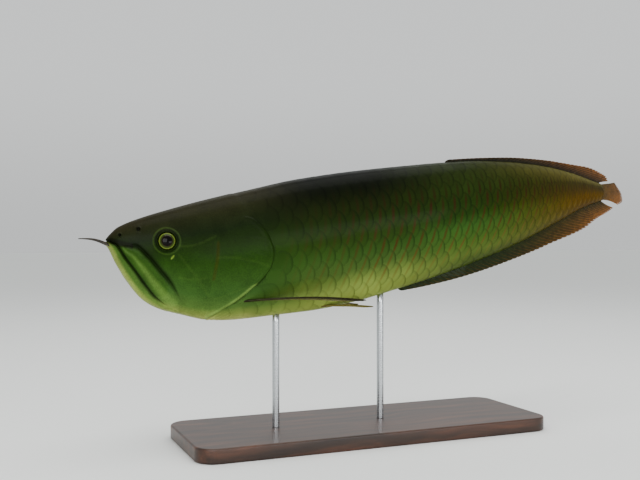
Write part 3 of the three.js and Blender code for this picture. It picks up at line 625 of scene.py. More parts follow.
# The belly's seam has a point of each side, and both move straight down.
on_seam = np.abs(v) > 0.9999
normals[on_seam] = np.cross(place(s[on_seam] + 1e-4, 0, 0) - place(s[on_seam], 0, 0), (0, 1, 0))
normals[on_seam] /= np.linalg.norm(normals[on_seam], axis=1)[:, None]
normals[on_seam] *= -np.sign(normals[on_seam][:, 2:3])
points = place(s, off, z) + normals * (relief * MM)[:, None]
skin_mesh.vertices.foreach_set("co", points.ravel())


def add_floats(mesh, values):
    """Stores named numbers on a mesh's points."""
    for name, numbers in values.items():
        attribute = mesh.attributes.new(name, "FLOAT", "POINT")
        attribute.data.foreach_set("value", np.ascontiguousarray(numbers, np.float32))


add_floats(skin_mesh, {"share": s, "drop": drop, **marks})
skin = bpy.data.objects.new("fish_skin", skin_mesh)
bpy.context.scene.collection.objects.link(skin)

joined = bmesh.new()
joined.from_mesh(skin_mesh)
bmesh.ops.remove_doubles(joined, verts=joined.verts, dist=WELD)
open_edges = [e for e in joined.edges if e.is_boundary]
bmesh.ops.holes_fill(joined, edges=open_edges, sides=0)
bmesh.ops.recalc_face_normals(joined, faces=joined.faces)
joined.to_mesh(skin_mesh)
joined.free()
skin_mesh.shade_smooth()
print("skin:", len(skin_mesh.polygons), "faces,", len(open_edges), "open edges closed")

# %% [markdown]
# The skin of the head is thin and wet over bone. The crown and snout are nearly black, the cheeks a clear green,
# the jaws pale green with painted shade in the grooves round them. The colour runs from the back to the belly on
# four ramps that take over from one another along the body. They hold the fish's own colouring and painted light
# together: the dark back and the pale belly are partly painted shade and light, the upper back towards the tail
# carries a painted sheen, and the rear ramp has a painted highlight on its upper rows and painted shade low down
# by the anal fin. The lines of the head are drawn over it afterwards, from the stored distances.

# %% Ramps of colour from the back to the belly
HEAD_COLOURS = [
    (0.0, "#2d2a1b"), (0.14, "#252916"), (0.26, "#1a2610"), (0.38, "#1e310c"), (0.5, "#264012"),
    (0.64, "#334e20"), (0.78, "#3b5729"), (0.89, "#526c37"), (0.95, "#7d8c4c"), (1.0, "#aab06a"),
]
# The near-black top and the pale bottom are partly the fish's own colouring, partly painted shade and light.
BODY_COLOURS = [
    (0.0, "#060804"), (0.14, "#111609"), (0.26, "#1e270d"), (0.38, "#1f300c"), (0.5, "#293d10"),
    (0.62, "#375122"), (0.74, "#475d2d"), (0.86, "#798948"), (1.0, "#8b9851"),
]
# Its lighter upper stops are a painted highlight, and its darker last stop is painted shade by the anal fin's
# base.
REAR_COLOURS = [
    (0.0, "#232a10"), (0.14, "#273213"), (0.26, "#283713"), (0.38, "#22340e"), (0.5, "#253d12"),
    (0.62, "#395825"), (0.74, "#435d27"), (0.86, "#566830"), (1.0, "#3f4d1f"),
]
# Its lighter top stops are a painted sheen on the upper back.
TAIL_COLOURS = [
    (0.0, "#5e5a30"), (0.12, "#575127"), (0.27, "#3b350f"), (0.4, "#40340e"), (0.52, "#4c3b0e"),
    (0.65, "#58410a"), (0.78, "#543d07"), (1.0, "#4a3606"),
]

# Each ramp, and the shares of the body's length between which it takes over from the one before.
ALONG_BODY = [
    (HEAD_COLOURS, 0, 0),
    (BODY_COLOURS, 0.2, 0.34),
    (REAR_COLOURS, 0.42, 0.62),
    (TAIL_COLOURS, 0.6, 0.94),
]
# The scale of a noise pattern counts its waves in a metre: 28 makes soft waves of colour about 36 mm long.
CLOUDS_PER_METRE = 28.0
COLOUR_WANDER = 0.1  # how far a cloud moves the colours up or down, as a share of the body's depth


def add_body_colour(tree):
    """The fish's colour, its own and painted shade and light, from the back to the belly and from the head to the
    tail.
    """
    share = add_node(tree, "ShaderNodeAttribute", attribute_name="share").outputs["Fac"]
    drop = add_node(tree, "ShaderNodeAttribute", attribute_name="drop").outputs["Fac"]
    place_in = add_node(tree, "ShaderNodeTexCoord").outputs["Object"]
    cloud = add_node(tree, "ShaderNodeTexNoise", {"Vector": place_in, "Scale": CLOUDS_PER_METRE, "Detail": 3.0})
    wander = {0: cloud, 1: COLOUR_WANDER, 2: -COLOUR_WANDER / 2}
    shift = add_node(tree, "ShaderNodeMath", wander, operation="MULTIPLY_ADD")
    drop = add_node(tree, "ShaderNodeMath", {0: drop, 1: shift}, operation="ADD")
    whole = None
    for colours, begins, ends in ALONG_BODY:
        here = set_ramp(add_node(tree, "ShaderNodeValToRGB", {"Fac": drop}), colours)
        if whole is None:
            whole = here.outputs["Color"]
            continue
        reach = {"Value": share, "From Min": begins, "From Max": ends}
        reached = add_node(tree, "ShaderNodeMapRange", reach, interpolation_type="SMOOTHSTEP")
        mixed = {FACTOR: reached, COLOUR_A: whole, COLOUR_B: here}
        whole = add_node(tree, "ShaderNodeMix", mixed, data_type="RGBA").outputs[MIXED]
    return whole, place_in


print(sum(len(colours) for colours, _, _ in ALONG_BODY), "stops on", len(ALONG_BODY), "ramps")

# %% [markdown]
# Over the body's colour come the marks of the head, each a band round a line: pale green jaws with a paler rim,
# painted shade in the mouth's cleft and in the groove behind the jaw's bone, a painted highlight along that bone's
# crest, a fine brownish line at the front of the gill cover, a painted highlight along its free edge with painted
# shade just behind it, a painted highlight on the fold under the eye and painted shade in the nostrils. A table
# lists them, and a loop paints them one over the other.

# %% Skin of the head and body
HEAD_MARKS = [
    # (distance read, middle of the band, half its width, soft edge, strength, colour), all distances in mm
    ("jaw_mm", -30, 28.0, 2.6, 0.62, "#526f33"),
    # The bone's own green, made darker partly as painted shade.
    ("bone_mm", 22, 18.0, 4.6, 0.62, "#365220"),
    # A painted highlight along the crest of the bone.
    ("ridge_mm", 0, 0.6, 6.0, 0.36, "#7b9950"),
    ("rim_mm", 0.5, 0.8, 4.0, 0.66, "#939c58"),
    # Painted shade in the mouth's cleft and in the groove behind the jaw's bone.
    ("mouth_mm", 0, 0.35, 2.8, 0.85, "#141e0a"),
    ("cheek_mm", 0, 0.4, 4.8, 0.8, "#111a09"),
    ("snout_mm", 0.5, 0.6, 3.4, 0.8, "#101007"),
    ("cover_front_mm", 0, 0.4, 2.6, 0.34, "#3f3412"),
    ("seam_mm", 0, 0.2, 2.0, 0.04, "#7b9a4a"),
    # A painted highlight along the gill cover's free edge, and painted shade just behind it under the edge.
    ("hem_mm", 0, 0.8, 2.6, 0.45, "#84a058"),
    ("gill_mm", 0, 0.3, 2.4, 0.34, "#141d0a"),
    ("eye_mm", 0, 9.8, 4.4, 0.45, "#141c0b"),
    ("eye_mm", 13.8, 0.2, 1.3, 0.16, "#5c7a34"),
    # A painted highlight on the fold under the rear of the eye.
    ("tear_mm", 0, 0.15, 1.5, 0.6, "#8aa34a"),
    # Painted shade inside the nostrils' pits.
    ("nostril_mm", -4, 3.7, 0.9, 0.75, "#0c0e08"),
]


def paint_band(tree, colour, attribute, middle, half_wide, soft, strength, hex_colour):
    """Mixes a colour in where the stored distance is within a band."""
    distance = add_node(tree, "ShaderNodeAttribute", attribute_name=attribute).outputs["Fac"]
    shifted = add_node(tree, "ShaderNodeMath", {0: distance, 1: middle}, operation="SUBTRACT")
    away = add_node(tree, "ShaderNodeMath", {0: shifted}, operation="ABSOLUTE")
    amounts = {"Value": away, "From Min": half_wide, "From Max": half_wide + soft, "To Min": strength, "To Max": 0}
    band = add_node(tree, "ShaderNodeMapRange", amounts, interpolation_type="SMOOTHSTEP")
    mixed = {FACTOR: band, COLOUR_A: colour, COLOUR_B: linear(hex_colour)}
    return add_node(tree, "ShaderNodeMix", mixed, data_type="RGBA").outputs[MIXED]


skin_material, tree = new_material("wet fish skin over bone")
colour, place_in = add_body_colour(tree)
for mark in HEAD_MARKS:
    colour = paint_band(tree, colour, *mark)
print(len(HEAD_MARKS), "marks on the head")

# %% [markdown]
# Wet skin is smooth but not a mirror. Grains of pigment break up its colour, soft clouds make it glossier here
# and duller there, and a thin film of slime adds a second, faint gloss. Seen in water, skin shines far less
# than in air, so its IOR is matched to the photograph and lies below skin's usual 1.4.

# %% The wet surface of the skin
GRAIN_WAVE, CLOUD_WAVE = 0.0014, 0.016  # metres; half a wave is one grain, 0.7 mm, or one cloud, 8 mm
grains = add_node(tree, "ShaderNodeTexNoise", {"Vector": place_in, "Scale": 1 / GRAIN_WAVE, "Detail": 2.0})
clouds = add_node(tree, "ShaderNodeTexNoise", {"Vector": place_in, "Scale": 1 / CLOUD_WAVE, "Detail": 4.0})
mottle = add_node(tree, "ShaderNodeMath", {0: grains, 1: clouds}, operation="ADD")
light_or_dark = {"Value": mottle, "From Min": 0.7, "From Max": 1.3, "To Min": 0.78, "To Max": 1.22}
brightness = add_node(tree, "ShaderNodeMapRange", light_or_dark)
colour = add_node(tree, "ShaderNodeVectorMath", {0: colour, "Scale": brightness}, operation="SCALE")
rough = {"Value": clouds, "From Min": 0.3, "From Max": 0.7, "To Min": 0.36, "To Max": 0.5}
finish = {
    "Base Color": colour,
    "Roughness": add_node(tree, "ShaderNodeMapRange", rough),
    "IOR": 1.14,
    "Normal": add_node(tree, "ShaderNodeBump", {"Strength": 0.12, "Distance": 0.0003, "Height": grains}),
    "Coat Weight": 0.05,
    "Coat Roughness": 0.2,
}
shader = add_node(tree, "ShaderNodeBsdfPrincipled", finish)
add_node(tree, "ShaderNodeOutputMaterial", {"Surface": shader})
skin_mesh.materials.append(skin_material)
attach(skin, "root")
FLESH = (
    "head", "lower_jaw", "maxilla_left", "maxilla_right", "gill_cover_left", "gill_cover_right", "trunk", "tail",
)
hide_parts(*FLESH)
print("the skin replaces", len(FLESH), "solids")

# %% [markdown]
# The scales are plates as wide as a thumbnail. They lie in rows that run along the body, each row half a scale
# behind the next, and every scale's round rear edge lies free over the ones behind it. So the rule is a
# lattice: whole numbers count the scales along a row, and the rows up and down from the lateral line. Towards
# the tail the scales shrink, and rows run out under the two long fins.
#
# The lay of the coat is a sheet that follows the skin and carries, at each point, its place on the lattice.
# One sheet is made for each side, because each side's scales are a piece of their own.

# %% The lay of the scales
COLUMNS_WIDE, ROWS_WIDE = 42, 14  # the lattice's whole field, a little larger than the coat
ROWS_UP, ROWS_DOWN = 5, 5
scale_pitch = through((0.18, 15.5), (0.3, 17.2), (0.7, 16.4), (0.9, 12.6), (1, 9.5))
least_row = through((0.5, 17.4), (0.65, 16), (0.8, 13), (0.9, 10.8), (1, 8.2))
lateral_height = through((0.2, 3), (0.4, 2), (0.6, 5), (0.8, 8), (1, 4.3))
over_back = through((0.58, 15), (0.61, 2.4), (1, 2.0))
under_belly = through((0.45, 15), (0.48, 2.4), (1, 2.0))

LAY_STEP = 3.4  # millimetres from one row of the sheet's points to the next
LAY_START, LAY_PAST_TAIL = 80, 12
LAY_ACROSS = 110  # points of the sheet from the back to the belly
FIRST_SCALE, LAST_SCALE = 1.0, 0.993  # millimetres behind the scales' start, and a share of the length
LARGEST_PITCH = 17
# Behind the gill cover the scales lie flatter under the skin than on the flank.
FLATTEST, LIES_FLAT_TO, STANDS_FROM = 0.5, 0.22, 0.44
lay_s = np.arange(LAY_START, BODY_LENGTH + LAY_PAST_TAIL, LAY_STEP) / BODY_LENGTH
columns_along = np.cumsum(LAY_STEP / scale_pitch(lay_s))


def make_lay(name, side):
    """The sheet that carries the lattice over one side of the body; side is -1 for the left."""
    off, z, row = (np.empty((len(lay_s), LAY_ACROSS)) for _ in range(3))
    for i, s in enumerate(lay_s):
        half = ring(min(s, 1), -SKIN_DEPTH)
        up = float(np.interp(-lateral_height(s), -half[2], half[0]))
        down = half[0][-1] - up
        above = np.linspace(-float(over_back(s)), half[0][-1] + float(under_belly(s)), LAY_ACROSS)
        off[i], z[i] = on_ring(half, above)
        row_up, row_down = (max(room / n, float(least_row(s))) for room, n in ((up, ROWS_UP), (down, ROWS_DOWN)))
        row[i] = (up - above) / np.where(up - above > 0, row_up, row_down)
    s, column = np.repeat(lay_s, LAY_ACROSS), np.repeat(columns_along, LAY_ACROSS)
    off, z, row = off.ravel() * side, z.ravel(), row.ravel()
    faces = [
        (i * LAY_ACROSS + k, (i + 1) * LAY_ACROSS + k, (i + 1) * LAY_ACROSS + k + 1, i * LAY_ACROSS + k + 1)
        for i in range(len(lay_s) - 1)
        for k in range(LAY_ACROSS - 1)
    ]
    mesh = bpy.data.meshes.new(name)
    mesh.from_pydata(place(s, off, z).tolist(), [], [face[::side] for face in faces])
    lattice = np.stack([column / COLUMNS_WIDE, row / ROWS_WIDE + 0.5, np.zeros_like(row)], -1)
    mesh.attributes.new("lattice", "FLOAT_VECTOR", "POINT").data.foreach_set(
        "vector", lattice.astype(np.float32).ravel()
    )
    behind, _ = line_distance(s * BODY_LENGTH, z, SCALES_START)
    stands = FLATTEST + (1 - FLATTEST) * ease(s, LIES_FLAT_TO, STANDS_FROM)
    floats = {
        "scaled": (behind > FIRST_SCALE) & (s < LAST_SCALE),
        "share": s,
        "drop": np.clip((back_line(s) - z) / (back_line(s) - belly_line(s)), 0, 1),
        "lift": np.clip(scale_pitch(s) / LARGEST_PITCH, 0, 1) * stands,
    }
    add_floats(mesh, floats)
    return bpy.data.objects.new(name, mesh)


SIDES = {"left": -1, "right": 1}
lays = {word: make_lay(f"lay_{word}", side) for word, side in SIDES.items()}
print("about", round(float(columns_along[-1])), "scales along the body,", ROWS_UP + ROWS_DOWN, "rows")

# %% [markdown]
# One scale is drawn flat on the lattice, one unit to the next scale and one unit to the next row. Its rear edge
# is a round arc, it leans so that its rear stands over its neighbours, and a skirt turns down along its rim. It
# is small, but it has enough faces for the arc to stay round.

# %% One scale
SCALE_ACROSS, SCALE_ALONG = 8, 4  # faces
SCALE_HALF_HEIGHT = 0.84
SCALE_FRONT, SCALE_REAR = -0.72, 0.78
FRONT_HOLLOW = 0.1  # how far the front edge curves in at the sides
ARC_DEPTH = 0.66
ROOT_MM = -0.1  # how high the front of a scale lies
LEAN_MM = 0.32  # how much higher the rear edge lies than the front
DOME_MM = 0.14
CORNER_DROP_MM = 0.06
SKIRT_MM, SKIRT_TAPER = 0.24, 0.985

turn = np.linspace(-math.pi / 2, math.pi / 2, SCALE_ACROSS + 1)
p = np.sin(turn)
q = np.linspace(0, 1, SCALE_ALONG + 1) ** 0.85  # closer together towards the rear
front_edge = SCALE_FRONT + FRONT_HOLLOW * p**2
rear_edge = SCALE_REAR - ARC_DEPTH * (1 - np.cos(turn))
scale_x = front_edge[:, None] + (rear_edge - front_edge)[:, None] * q
scale_y = np.repeat(p[:, None] * SCALE_HALF_HEIGHT, len(q), 1)
lean = (scale_x - SCALE_FRONT) / (SCALE_REAR - SCALE_FRONT)
scale_z = ROOT_MM + LEAN_MM * lean + DOME_MM * (1 - (p**2)[:, None]) * np.sin(math.pi * q * 0.8)
scale_z -= CORNER_DROP_MM * ease(np.abs(p), 0.85, 1)[:, None]
rows, columns = scale_x.shape
top = [(scale_x[i, k], scale_y[i, k], scale_z[i, k]) for i in range(rows) for k in range(columns)]
faces = [
    (i * columns + k, i * columns + k + 1, (i + 1) * columns + k + 1, (i + 1) * columns + k)
    for i in range(rows - 1)
    for k in range(columns - 1)
]
# The rim runs along one side, round the rear and back along the other side.
rim = [*range(columns)] + [i * columns + columns - 1 for i in range(1, rows)]
rim += [(rows - 1) * columns + k for k in range(columns - 2, -1, -1)]
# The skirt has points of its own along the rim, so that the scale's top keeps its flat shading out to the edge.
skirt = [top[i] for i in rim]
skirt += [(top[i][0] * SKIRT_TAPER, top[i][1] * SKIRT_TAPER, top[i][2] - SKIRT_MM) for i in rim]
for n in range(len(top), len(top) + len(rim) - 1):
    faces.append((n, n + len(rim), n + len(rim) + 1, n + 1))
scale_mesh = bpy.data.meshes.new("one_scale")
scale_mesh.from_pydata(top + skirt, [], faces)
on_scale = scale_mesh.attributes.new("on_scale", "FLOAT_VECTOR", "POINT")
on_scale.data.foreach_set("vector", np.array([(x, y, 0) for x, y, z in top + skirt], np.float32).ravel())
one_scale = bpy.data.objects.new("one_scale", scale_mesh)
print("one scale:", len(faces), "faces")

# %% [markdown]
# The tree makes the coat in four steps. The first two are a point for each scale of the lattice, numbered along
# the rows, and a look at the lay, which drops the points where it says that there is no scale.

# %% The coat's node tree: points on the lattice
coat_tree = bpy.data.node_groups.new("scale coat", "GeometryNodeTree")
coat_tree.is_modifier = True
coat_tree.interface.new_socket("Geometry", in_out="OUTPUT", socket_type="NodeSocketGeometry")
COAT_INPUTS = {
    "Lay": "NodeSocketObject",
    "Scale": "NodeSocketObject",
    "Columns": "NodeSocketInt",
    "Rows up": "NodeSocketInt",
    "Rows down": "NodeSocketInt",
    "Size": "NodeSocketFloat",
    "Variation": "NodeSocketFloat",
    "Seed": "NodeSocketInt",
    "Turn faces": "NodeSocketBool",
    "Finish": "NodeSocketMaterial",
}
for name, kind in COAT_INPUTS.items():
    coat_tree.interface.new_socket(name, in_out="INPUT", socket_type=kind)
given = coat_tree.nodes.new("NodeGroupInput").outputs
t = coat_tree
ROUND_UP = 0.0001  # keeps a whole number of rows from being rounded down

lay_in = add_node(t, "GeometryNodeObjectInfo", {"Object": given["Lay"]}).outputs["Geometry"]
rows_all = add_node(t, "ShaderNodeMath", {0: given["Rows up"], 1: given["Rows down"]}, operation="ADD")
rows_all = add_node(t, "ShaderNodeMath", {0: rows_all, 1: 1.0}, operation="ADD")
count = add_node(t, "ShaderNodeMath", {0: rows_all, 1: given["Columns"]}, operation="MULTIPLY")
number = add_node(t, "GeometryNodeInputIndex")
column = add_node(t, "ShaderNodeMath", {0: number, 1: given["Columns"]}, operation="MODULO")
row = add_node(t, "ShaderNodeMath", {0: number, 1: given["Columns"]}, operation="DIVIDE")
row = add_node(t, "ShaderNodeMath", {0: row, 1: ROUND_UP}, operation="ADD")
row = add_node(t, "ShaderNodeMath", {0: row}, operation="FLOOR")
row = add_node(t, "ShaderNodeMath", {0: row, 1: given["Rows down"]}, operation="SUBTRACT")
odd = add_node(t, "ShaderNodeMath", {0: row, 1: 2.0}, operation="FLOORED_MODULO")
shifted = add_node(t, "ShaderNodeMath", {0: odd, 1: 0.5, 2: column}, operation="MULTIPLY_ADD")
spot = add_node(t, "ShaderNodeCombineXYZ", {0: shifted, 1: row})
points = add_node(t, "GeometryNodePoints", {"Count": count, "Position": spot, "Radius": 0.1})
UNIT = (1 / COLUMNS_WIDE, 1 / ROWS_WIDE, 0)


def sample_lay(kind, value, where):
    """What the lay holds at a place on the lattice, and whether it reaches there."""
    at = add_node(t, "ShaderNodeVectorMath", {0: where, 1: UNIT, 2: (0, 0.5, 0)}, operation="MULTIPLY_ADD")
    lattice = add_node(t, "GeometryNodeInputNamedAttribute", {"Name": "lattice"}, data_type="FLOAT_VECTOR")
    sought = {"Mesh": lay_in, "Value": value, "UV Map": lattice, "Sample UV": at}
    found = add_node(t, "GeometryNodeSampleUVSurface", sought, data_type=kind)
    return found.outputs["Value"], found.outputs["Is Valid"]


here = add_node(t, "GeometryNodeInputPosition")
scaled = add_node(t, "GeometryNodeInputNamedAttribute", {"Name": "scaled"}, data_type="FLOAT")
has_scale, reached = sample_lay("FLOAT", scaled, here)
bare = add_node(t, "FunctionNodeCompare", {0: has_scale, 1: 0.5}, data_type="FLOAT", operation="LESS_THAN")
missed = add_node(t, "FunctionNodeBooleanMath", {0: reached}, operation="NOT")
no_scale = add_node(t, "FunctionNodeBooleanMath", {0: bare, 1: missed}, operation="OR")
points = add_node(t, "GeometryNodeDeleteGeometry", {"Geometry": points, "Selection": no_scale})
own_spot = {"Geometry": points, "Name": "spot", "Value": here}
points = add_node(t, "GeometryNodeStoreNamedAttribute", own_spot, data_type="FLOAT_VECTOR")
print("tree so far:", len(t.nodes), "nodes")

# %% [markdown]
# The third step puts a scale on each point, a little larger or smaller and tilted at random from a fixed seed,
# and turns the instances into real geometry. In the fourth, every point of that flat coat moves to where the
# lay has the same place on the lattice, and out along its normal by its own height, so the coat bends with the
# body because the lay does. What strays off the lay is dropped.

# %% The coat's node tree: scales on the body
MOST_TILT = 0.05  # radians
scale_in = add_node(t, "GeometryNodeObjectInfo", {"Object": given["Scale"]}).outputs["Geometry"]
least = add_node(t, "ShaderNodeMath", {0: 1.0, 1: given["Variation"]}, operation="SUBTRACT")
most = add_node(t, "ShaderNodeMath", {0: 1.0, 1: given["Variation"]}, operation="ADD")
sizes = {2: least, 3: most, "Seed": given["Seed"]}
draw = add_node(t, "FunctionNodeRandomValue", sizes, data_type="FLOAT").outputs[1]
size = add_node(t, "ShaderNodeMath", {0: draw, 1: given["Size"]}, operation="MULTIPLY")
tilts = {2: -MOST_TILT, 3: MOST_TILT, "Seed": given["Seed"]}
tilt = add_node(t, "FunctionNodeRandomValue", tilts, data_type="FLOAT").outputs[1]
turned = add_node(t, "ShaderNodeCombineXYZ", {2: tilt})
stood = {"Points": points, "Instance": scale_in, "Rotation": turned, "Scale": size}
coat = add_node(t, "GeometryNodeInstanceOnPoints", stood)
coat = add_node(t, "GeometryNodeRealizeInstances", {"Geometry": coat})

own_place = add_node(t, "GeometryNodeInputPosition")
lay_normal = add_node(t, "GeometryNodeInputNormal")
floats = {}
for name in ("share", "drop", "lift"):
    floats[name] = add_node(t, "GeometryNodeInputNamedAttribute", {"Name": name}, data_type="FLOAT")
on_lay, valid = sample_lay("FLOAT_VECTOR", own_place, own_place)
out_of_lay, _ = sample_lay("FLOAT_VECTOR", lay_normal, own_place)
lift, _ = sample_lay("FLOAT", floats["lift"], own_place)
stray = add_node(t, "FunctionNodeBooleanMath", {0: valid}, operation="NOT")
for name in ("share", "drop"):
    kept = {"Geometry": coat, "Name": name, "Value": sample_lay("FLOAT", floats[name], own_place)[0]}
    coat = add_node(t, "GeometryNodeStoreNamedAttribute", kept, data_type="FLOAT")
height = add_node(t, "ShaderNodeSeparateXYZ", {0: own_place}).outputs[2]
height = add_node(t, "ShaderNodeMath", {0: height, 1: lift}, operation="MULTIPLY")
height = add_node(t, "ShaderNodeMath", {0: height, 1: MM}, operation="MULTIPLY")
rise = add_node(t, "ShaderNodeVectorMath", {0: out_of_lay, "Scale": height}, operation="SCALE")
there = add_node(t, "ShaderNodeVectorMath", {0: on_lay, 1: rise}, operation="ADD")
marked = {"Geometry": coat, "Name": "stray", "Value": stray}
coat = add_node(t, "GeometryNodeStoreNamedAttribute", marked, data_type="BOOLEAN")
coat = add_node(t, "GeometryNodeSetPosition", {"Geometry": coat, "Position": there})
stray = add_node(t, "GeometryNodeInputNamedAttribute", {"Name": "stray"}, data_type="BOOLEAN")
coat = add_node(t, "GeometryNodeDeleteGeometry", {"Geometry": coat, "Selection": stray})
turned_over = add_node(t, "GeometryNodeFlipFaces", {"Mesh": coat})
either = {0: given["Turn faces"], 1: coat, 2: turned_over}
coat = add_node(t, "GeometryNodeSwitch", either, input_type="GEOMETRY")
coat = add_node(t, "GeometryNodeSetMaterial", {"Geometry": coat, "Material": given["Finish"]})
t.links.new(coat.outputs[0], t.nodes.new("NodeGroupOutput").inputs[0])
print("coat tree:", len(t.nodes), "nodes")

# %% [markdown]
# A scale is clear bone over coloured skin, so it takes the body's colour from the ramps, painted shade and light
# included, each a little lighter or darker than the next. From the shoulder back, each scale carries a short
# reddish upright bar that fades at its tips, and the bars of neighbouring rows join into slanting lines down the
# side. The colour is worked out from a point's place on its own scale.

# %% Finish of the scales: ground colour and streaks
STREAK_PLACE = 0.28  # how far behind a scale's middle its streak stands
STREAK_HALF, STREAK_EDGE = 0.03, 0.16
WAVES_PER_METRE = 260.0  # the streaks wander in waves about 4 mm long
STREAK_WANDER = 0.12
STREAK_COLOURS = [(0.15, "#21150b"), (0.4, "#36210f"), (0.64, "#4a3518"), (0.9, "#6e6231")]

scale_material, t = new_material("arowana scale, clear bone over pigment")
colour, place_in = add_body_colour(t)
spot = add_node(t, "ShaderNodeAttribute", attribute_name="spot").outputs["Vector"]
local = add_node(t, "ShaderNodeAttribute", attribute_name="on_scale").outputs["Vector"]
share = add_node(t, "ShaderNodeAttribute", attribute_name="share").outputs["Fac"]
drop = add_node(t, "ShaderNodeAttribute", attribute_name="drop").outputs["Fac"]
local_x, local_y, _ = add_node(t, "ShaderNodeSeparateXYZ", {0: local}).outputs
own_draw = add_node(t, "ShaderNodeTexWhiteNoise", {"Vector": spot})
other_draw = add_node(t, "ShaderNodeSeparateColor", {0: own_draw.outputs["Color"]}).outputs
shade = add_node(t, "ShaderNodeMapRange", {"Value": own_draw.outputs["Value"], "To Min": 0.9, "To Max": 1.1})
colour = add_node(t, "ShaderNodeVectorMath", {0: colour, "Scale": shade}, operation="SCALE")

# The streak leans back towards its top, more so low on the side.
slant = {"Value": drop, "From Min": 0.25, "From Max": 0.7, "To Min": 0.08, "To Max": 0.5}
slant = add_node(t, "ShaderNodeMapRange", slant)
bar = add_node(t, "ShaderNodeMath", {0: local_y, 1: slant}, operation="MULTIPLY")
bar = add_node(t, "ShaderNodeMath", {0: local_x, 1: bar}, operation="SUBTRACT")
wander = add_node(t, "ShaderNodeTexNoise", {"Vector": place_in, "Scale": WAVES_PER_METRE, "Detail": 2.0})
wander = {0: wander, 1: STREAK_WANDER, 2: -STREAK_WANDER / 2}
wander = add_node(t, "ShaderNodeMath", wander, operation="MULTIPLY_ADD")
bar = add_node(t, "ShaderNodeMath", {0: bar, 1: wander}, operation="ADD")
bar = add_node(t, "ShaderNodeMath", {0: bar, 1: STREAK_PLACE}, operation="SUBTRACT")
bar = add_node(t, "ShaderNodeMath", {0: bar}, operation="ABSOLUTE")
bar = {"Value": bar, "From Min": STREAK_HALF, "From Max": STREAK_EDGE, "To Min": 1.0, "To Max": 0.0}
bar = add_node(t, "ShaderNodeMapRange", bar, interpolation_type="SMOOTHSTEP")
height_on = add_node(t, "ShaderNodeMath", {0: local_y}, operation="ABSOLUTE")
STREAK_FADES = [
    # what is read, from, to, and the strength of the streak there
    (share, 0.24, 0.46, 0, 1),
    (drop, 0.1, 0.3, 0, 1),
    (drop, 0.78, 0.97, 1, 0),
    (other_draw[1], 0, 1, 0.5, 0.95),
    (height_on, 0.3 * SCALE_HALF_HEIGHT, 0.75 * SCALE_HALF_HEIGHT, 1, 0.3),
]
for read, low, high, to_low, to_high in STREAK_FADES:
    fade = {"Value": read, "From Min": low, "From Max": high, "To Min": to_low, "To Max": to_high}
    fade = add_node(t, "ShaderNodeMapRange", fade)
    bar = add_node(t, "ShaderNodeMath", {0: bar, 1: fade}, operation="MULTIPLY")
streak = set_ramp(add_node(t, "ShaderNodeValToRGB", {"Fac": drop}), STREAK_COLOURS)
streaked = {FACTOR: bar, COLOUR_A: colour, COLOUR_B: streak}
colour = add_node(t, "ShaderNodeMix", streaked, data_type="RGBA").outputs[MIXED]
print("scale finish so far:", len(t.nodes), "nodes")

# %% [markdown]
# Each scale's rim is darker: painted shade along the edge where the scale stands over the one behind. The rim is
# found from how far a point is out towards the arc of the rear edge. It is darkest on the upright part of the
# edge, and fainter on the scales close behind the head.

# %% Finish of the scales: rim
# The painted shade on each scale's rim.
RIM_SHADE = 0.36  # how light the rim is beside the rest
RIM_START, RIM_STRENGTH = 0.66, 0.72
reach_y = add_node(t, "ShaderNodeMath", {0: local_y, 1: 1 / SCALE_HALF_HEIGHT}, operation="MULTIPLY")
from_arc = {0: local_x, 1: 1 / ARC_DEPTH, 2: (ARC_DEPTH - SCALE_REAR) / ARC_DEPTH}
reach_x = add_node(t, "ShaderNodeMath", from_arc, operation="MULTIPLY_ADD")
reach_x = add_node(t, "ShaderNodeMath", {0: reach_x, 1: 0.0}, operation="MAXIMUM")
reach = add_node(t, "ShaderNodeCombineXYZ", {0: reach_x, 1: reach_y})
reach = add_node(t, "ShaderNodeVectorMath", {0: reach}, operation="LENGTH").outputs["Value"]
rim_band = {"Value": reach, "From Min": RIM_START, "From Max": 1.0, "To Min": 0.0, "To Max": RIM_STRENGTH}
rim = add_node(t, "ShaderNodeMapRange", rim_band, interpolation_type="SMOOTHSTEP")
RIM_FADES = [
    (height_on, 0.2 * SCALE_HALF_HEIGHT, 0.8 * SCALE_HALF_HEIGHT, 1, 0.4),
    (share, 0.18, 0.44, 0.45, 1),
]
for read, low, high, to_low, to_high in RIM_FADES:
    fade = {"Value": read, "From Min": low, "From Max": high, "To Min": to_low, "To Max": to_high}
    fade = add_node(t, "ShaderNodeMapRange", fade)
    rim = add_node(t, "ShaderNodeMath", {0: rim, 1: fade}, operation="MULTIPLY")
darker = add_node(t, "ShaderNodeVectorMath", {0: colour, "Scale": RIM_SHADE}, operation="SCALE")
rimmed = {FACTOR: rim, COLOUR_A: colour, COLOUR_B: darker}
colour = add_node(t, "ShaderNodeMix", rimmed, data_type="RGBA").outputs[MIXED]
print("scale finish so far:", len(t.nodes), "nodes")

# %% [markdown]
# The bone of a scale is smooth, with growth rings that follow its arc, crossed by a fine net. To the eye that
# gives a soft, broad shine that breaks from scale to scale. The rings of a real scale are finer than the render
# can show, so they are drawn as coarse as they need to show.

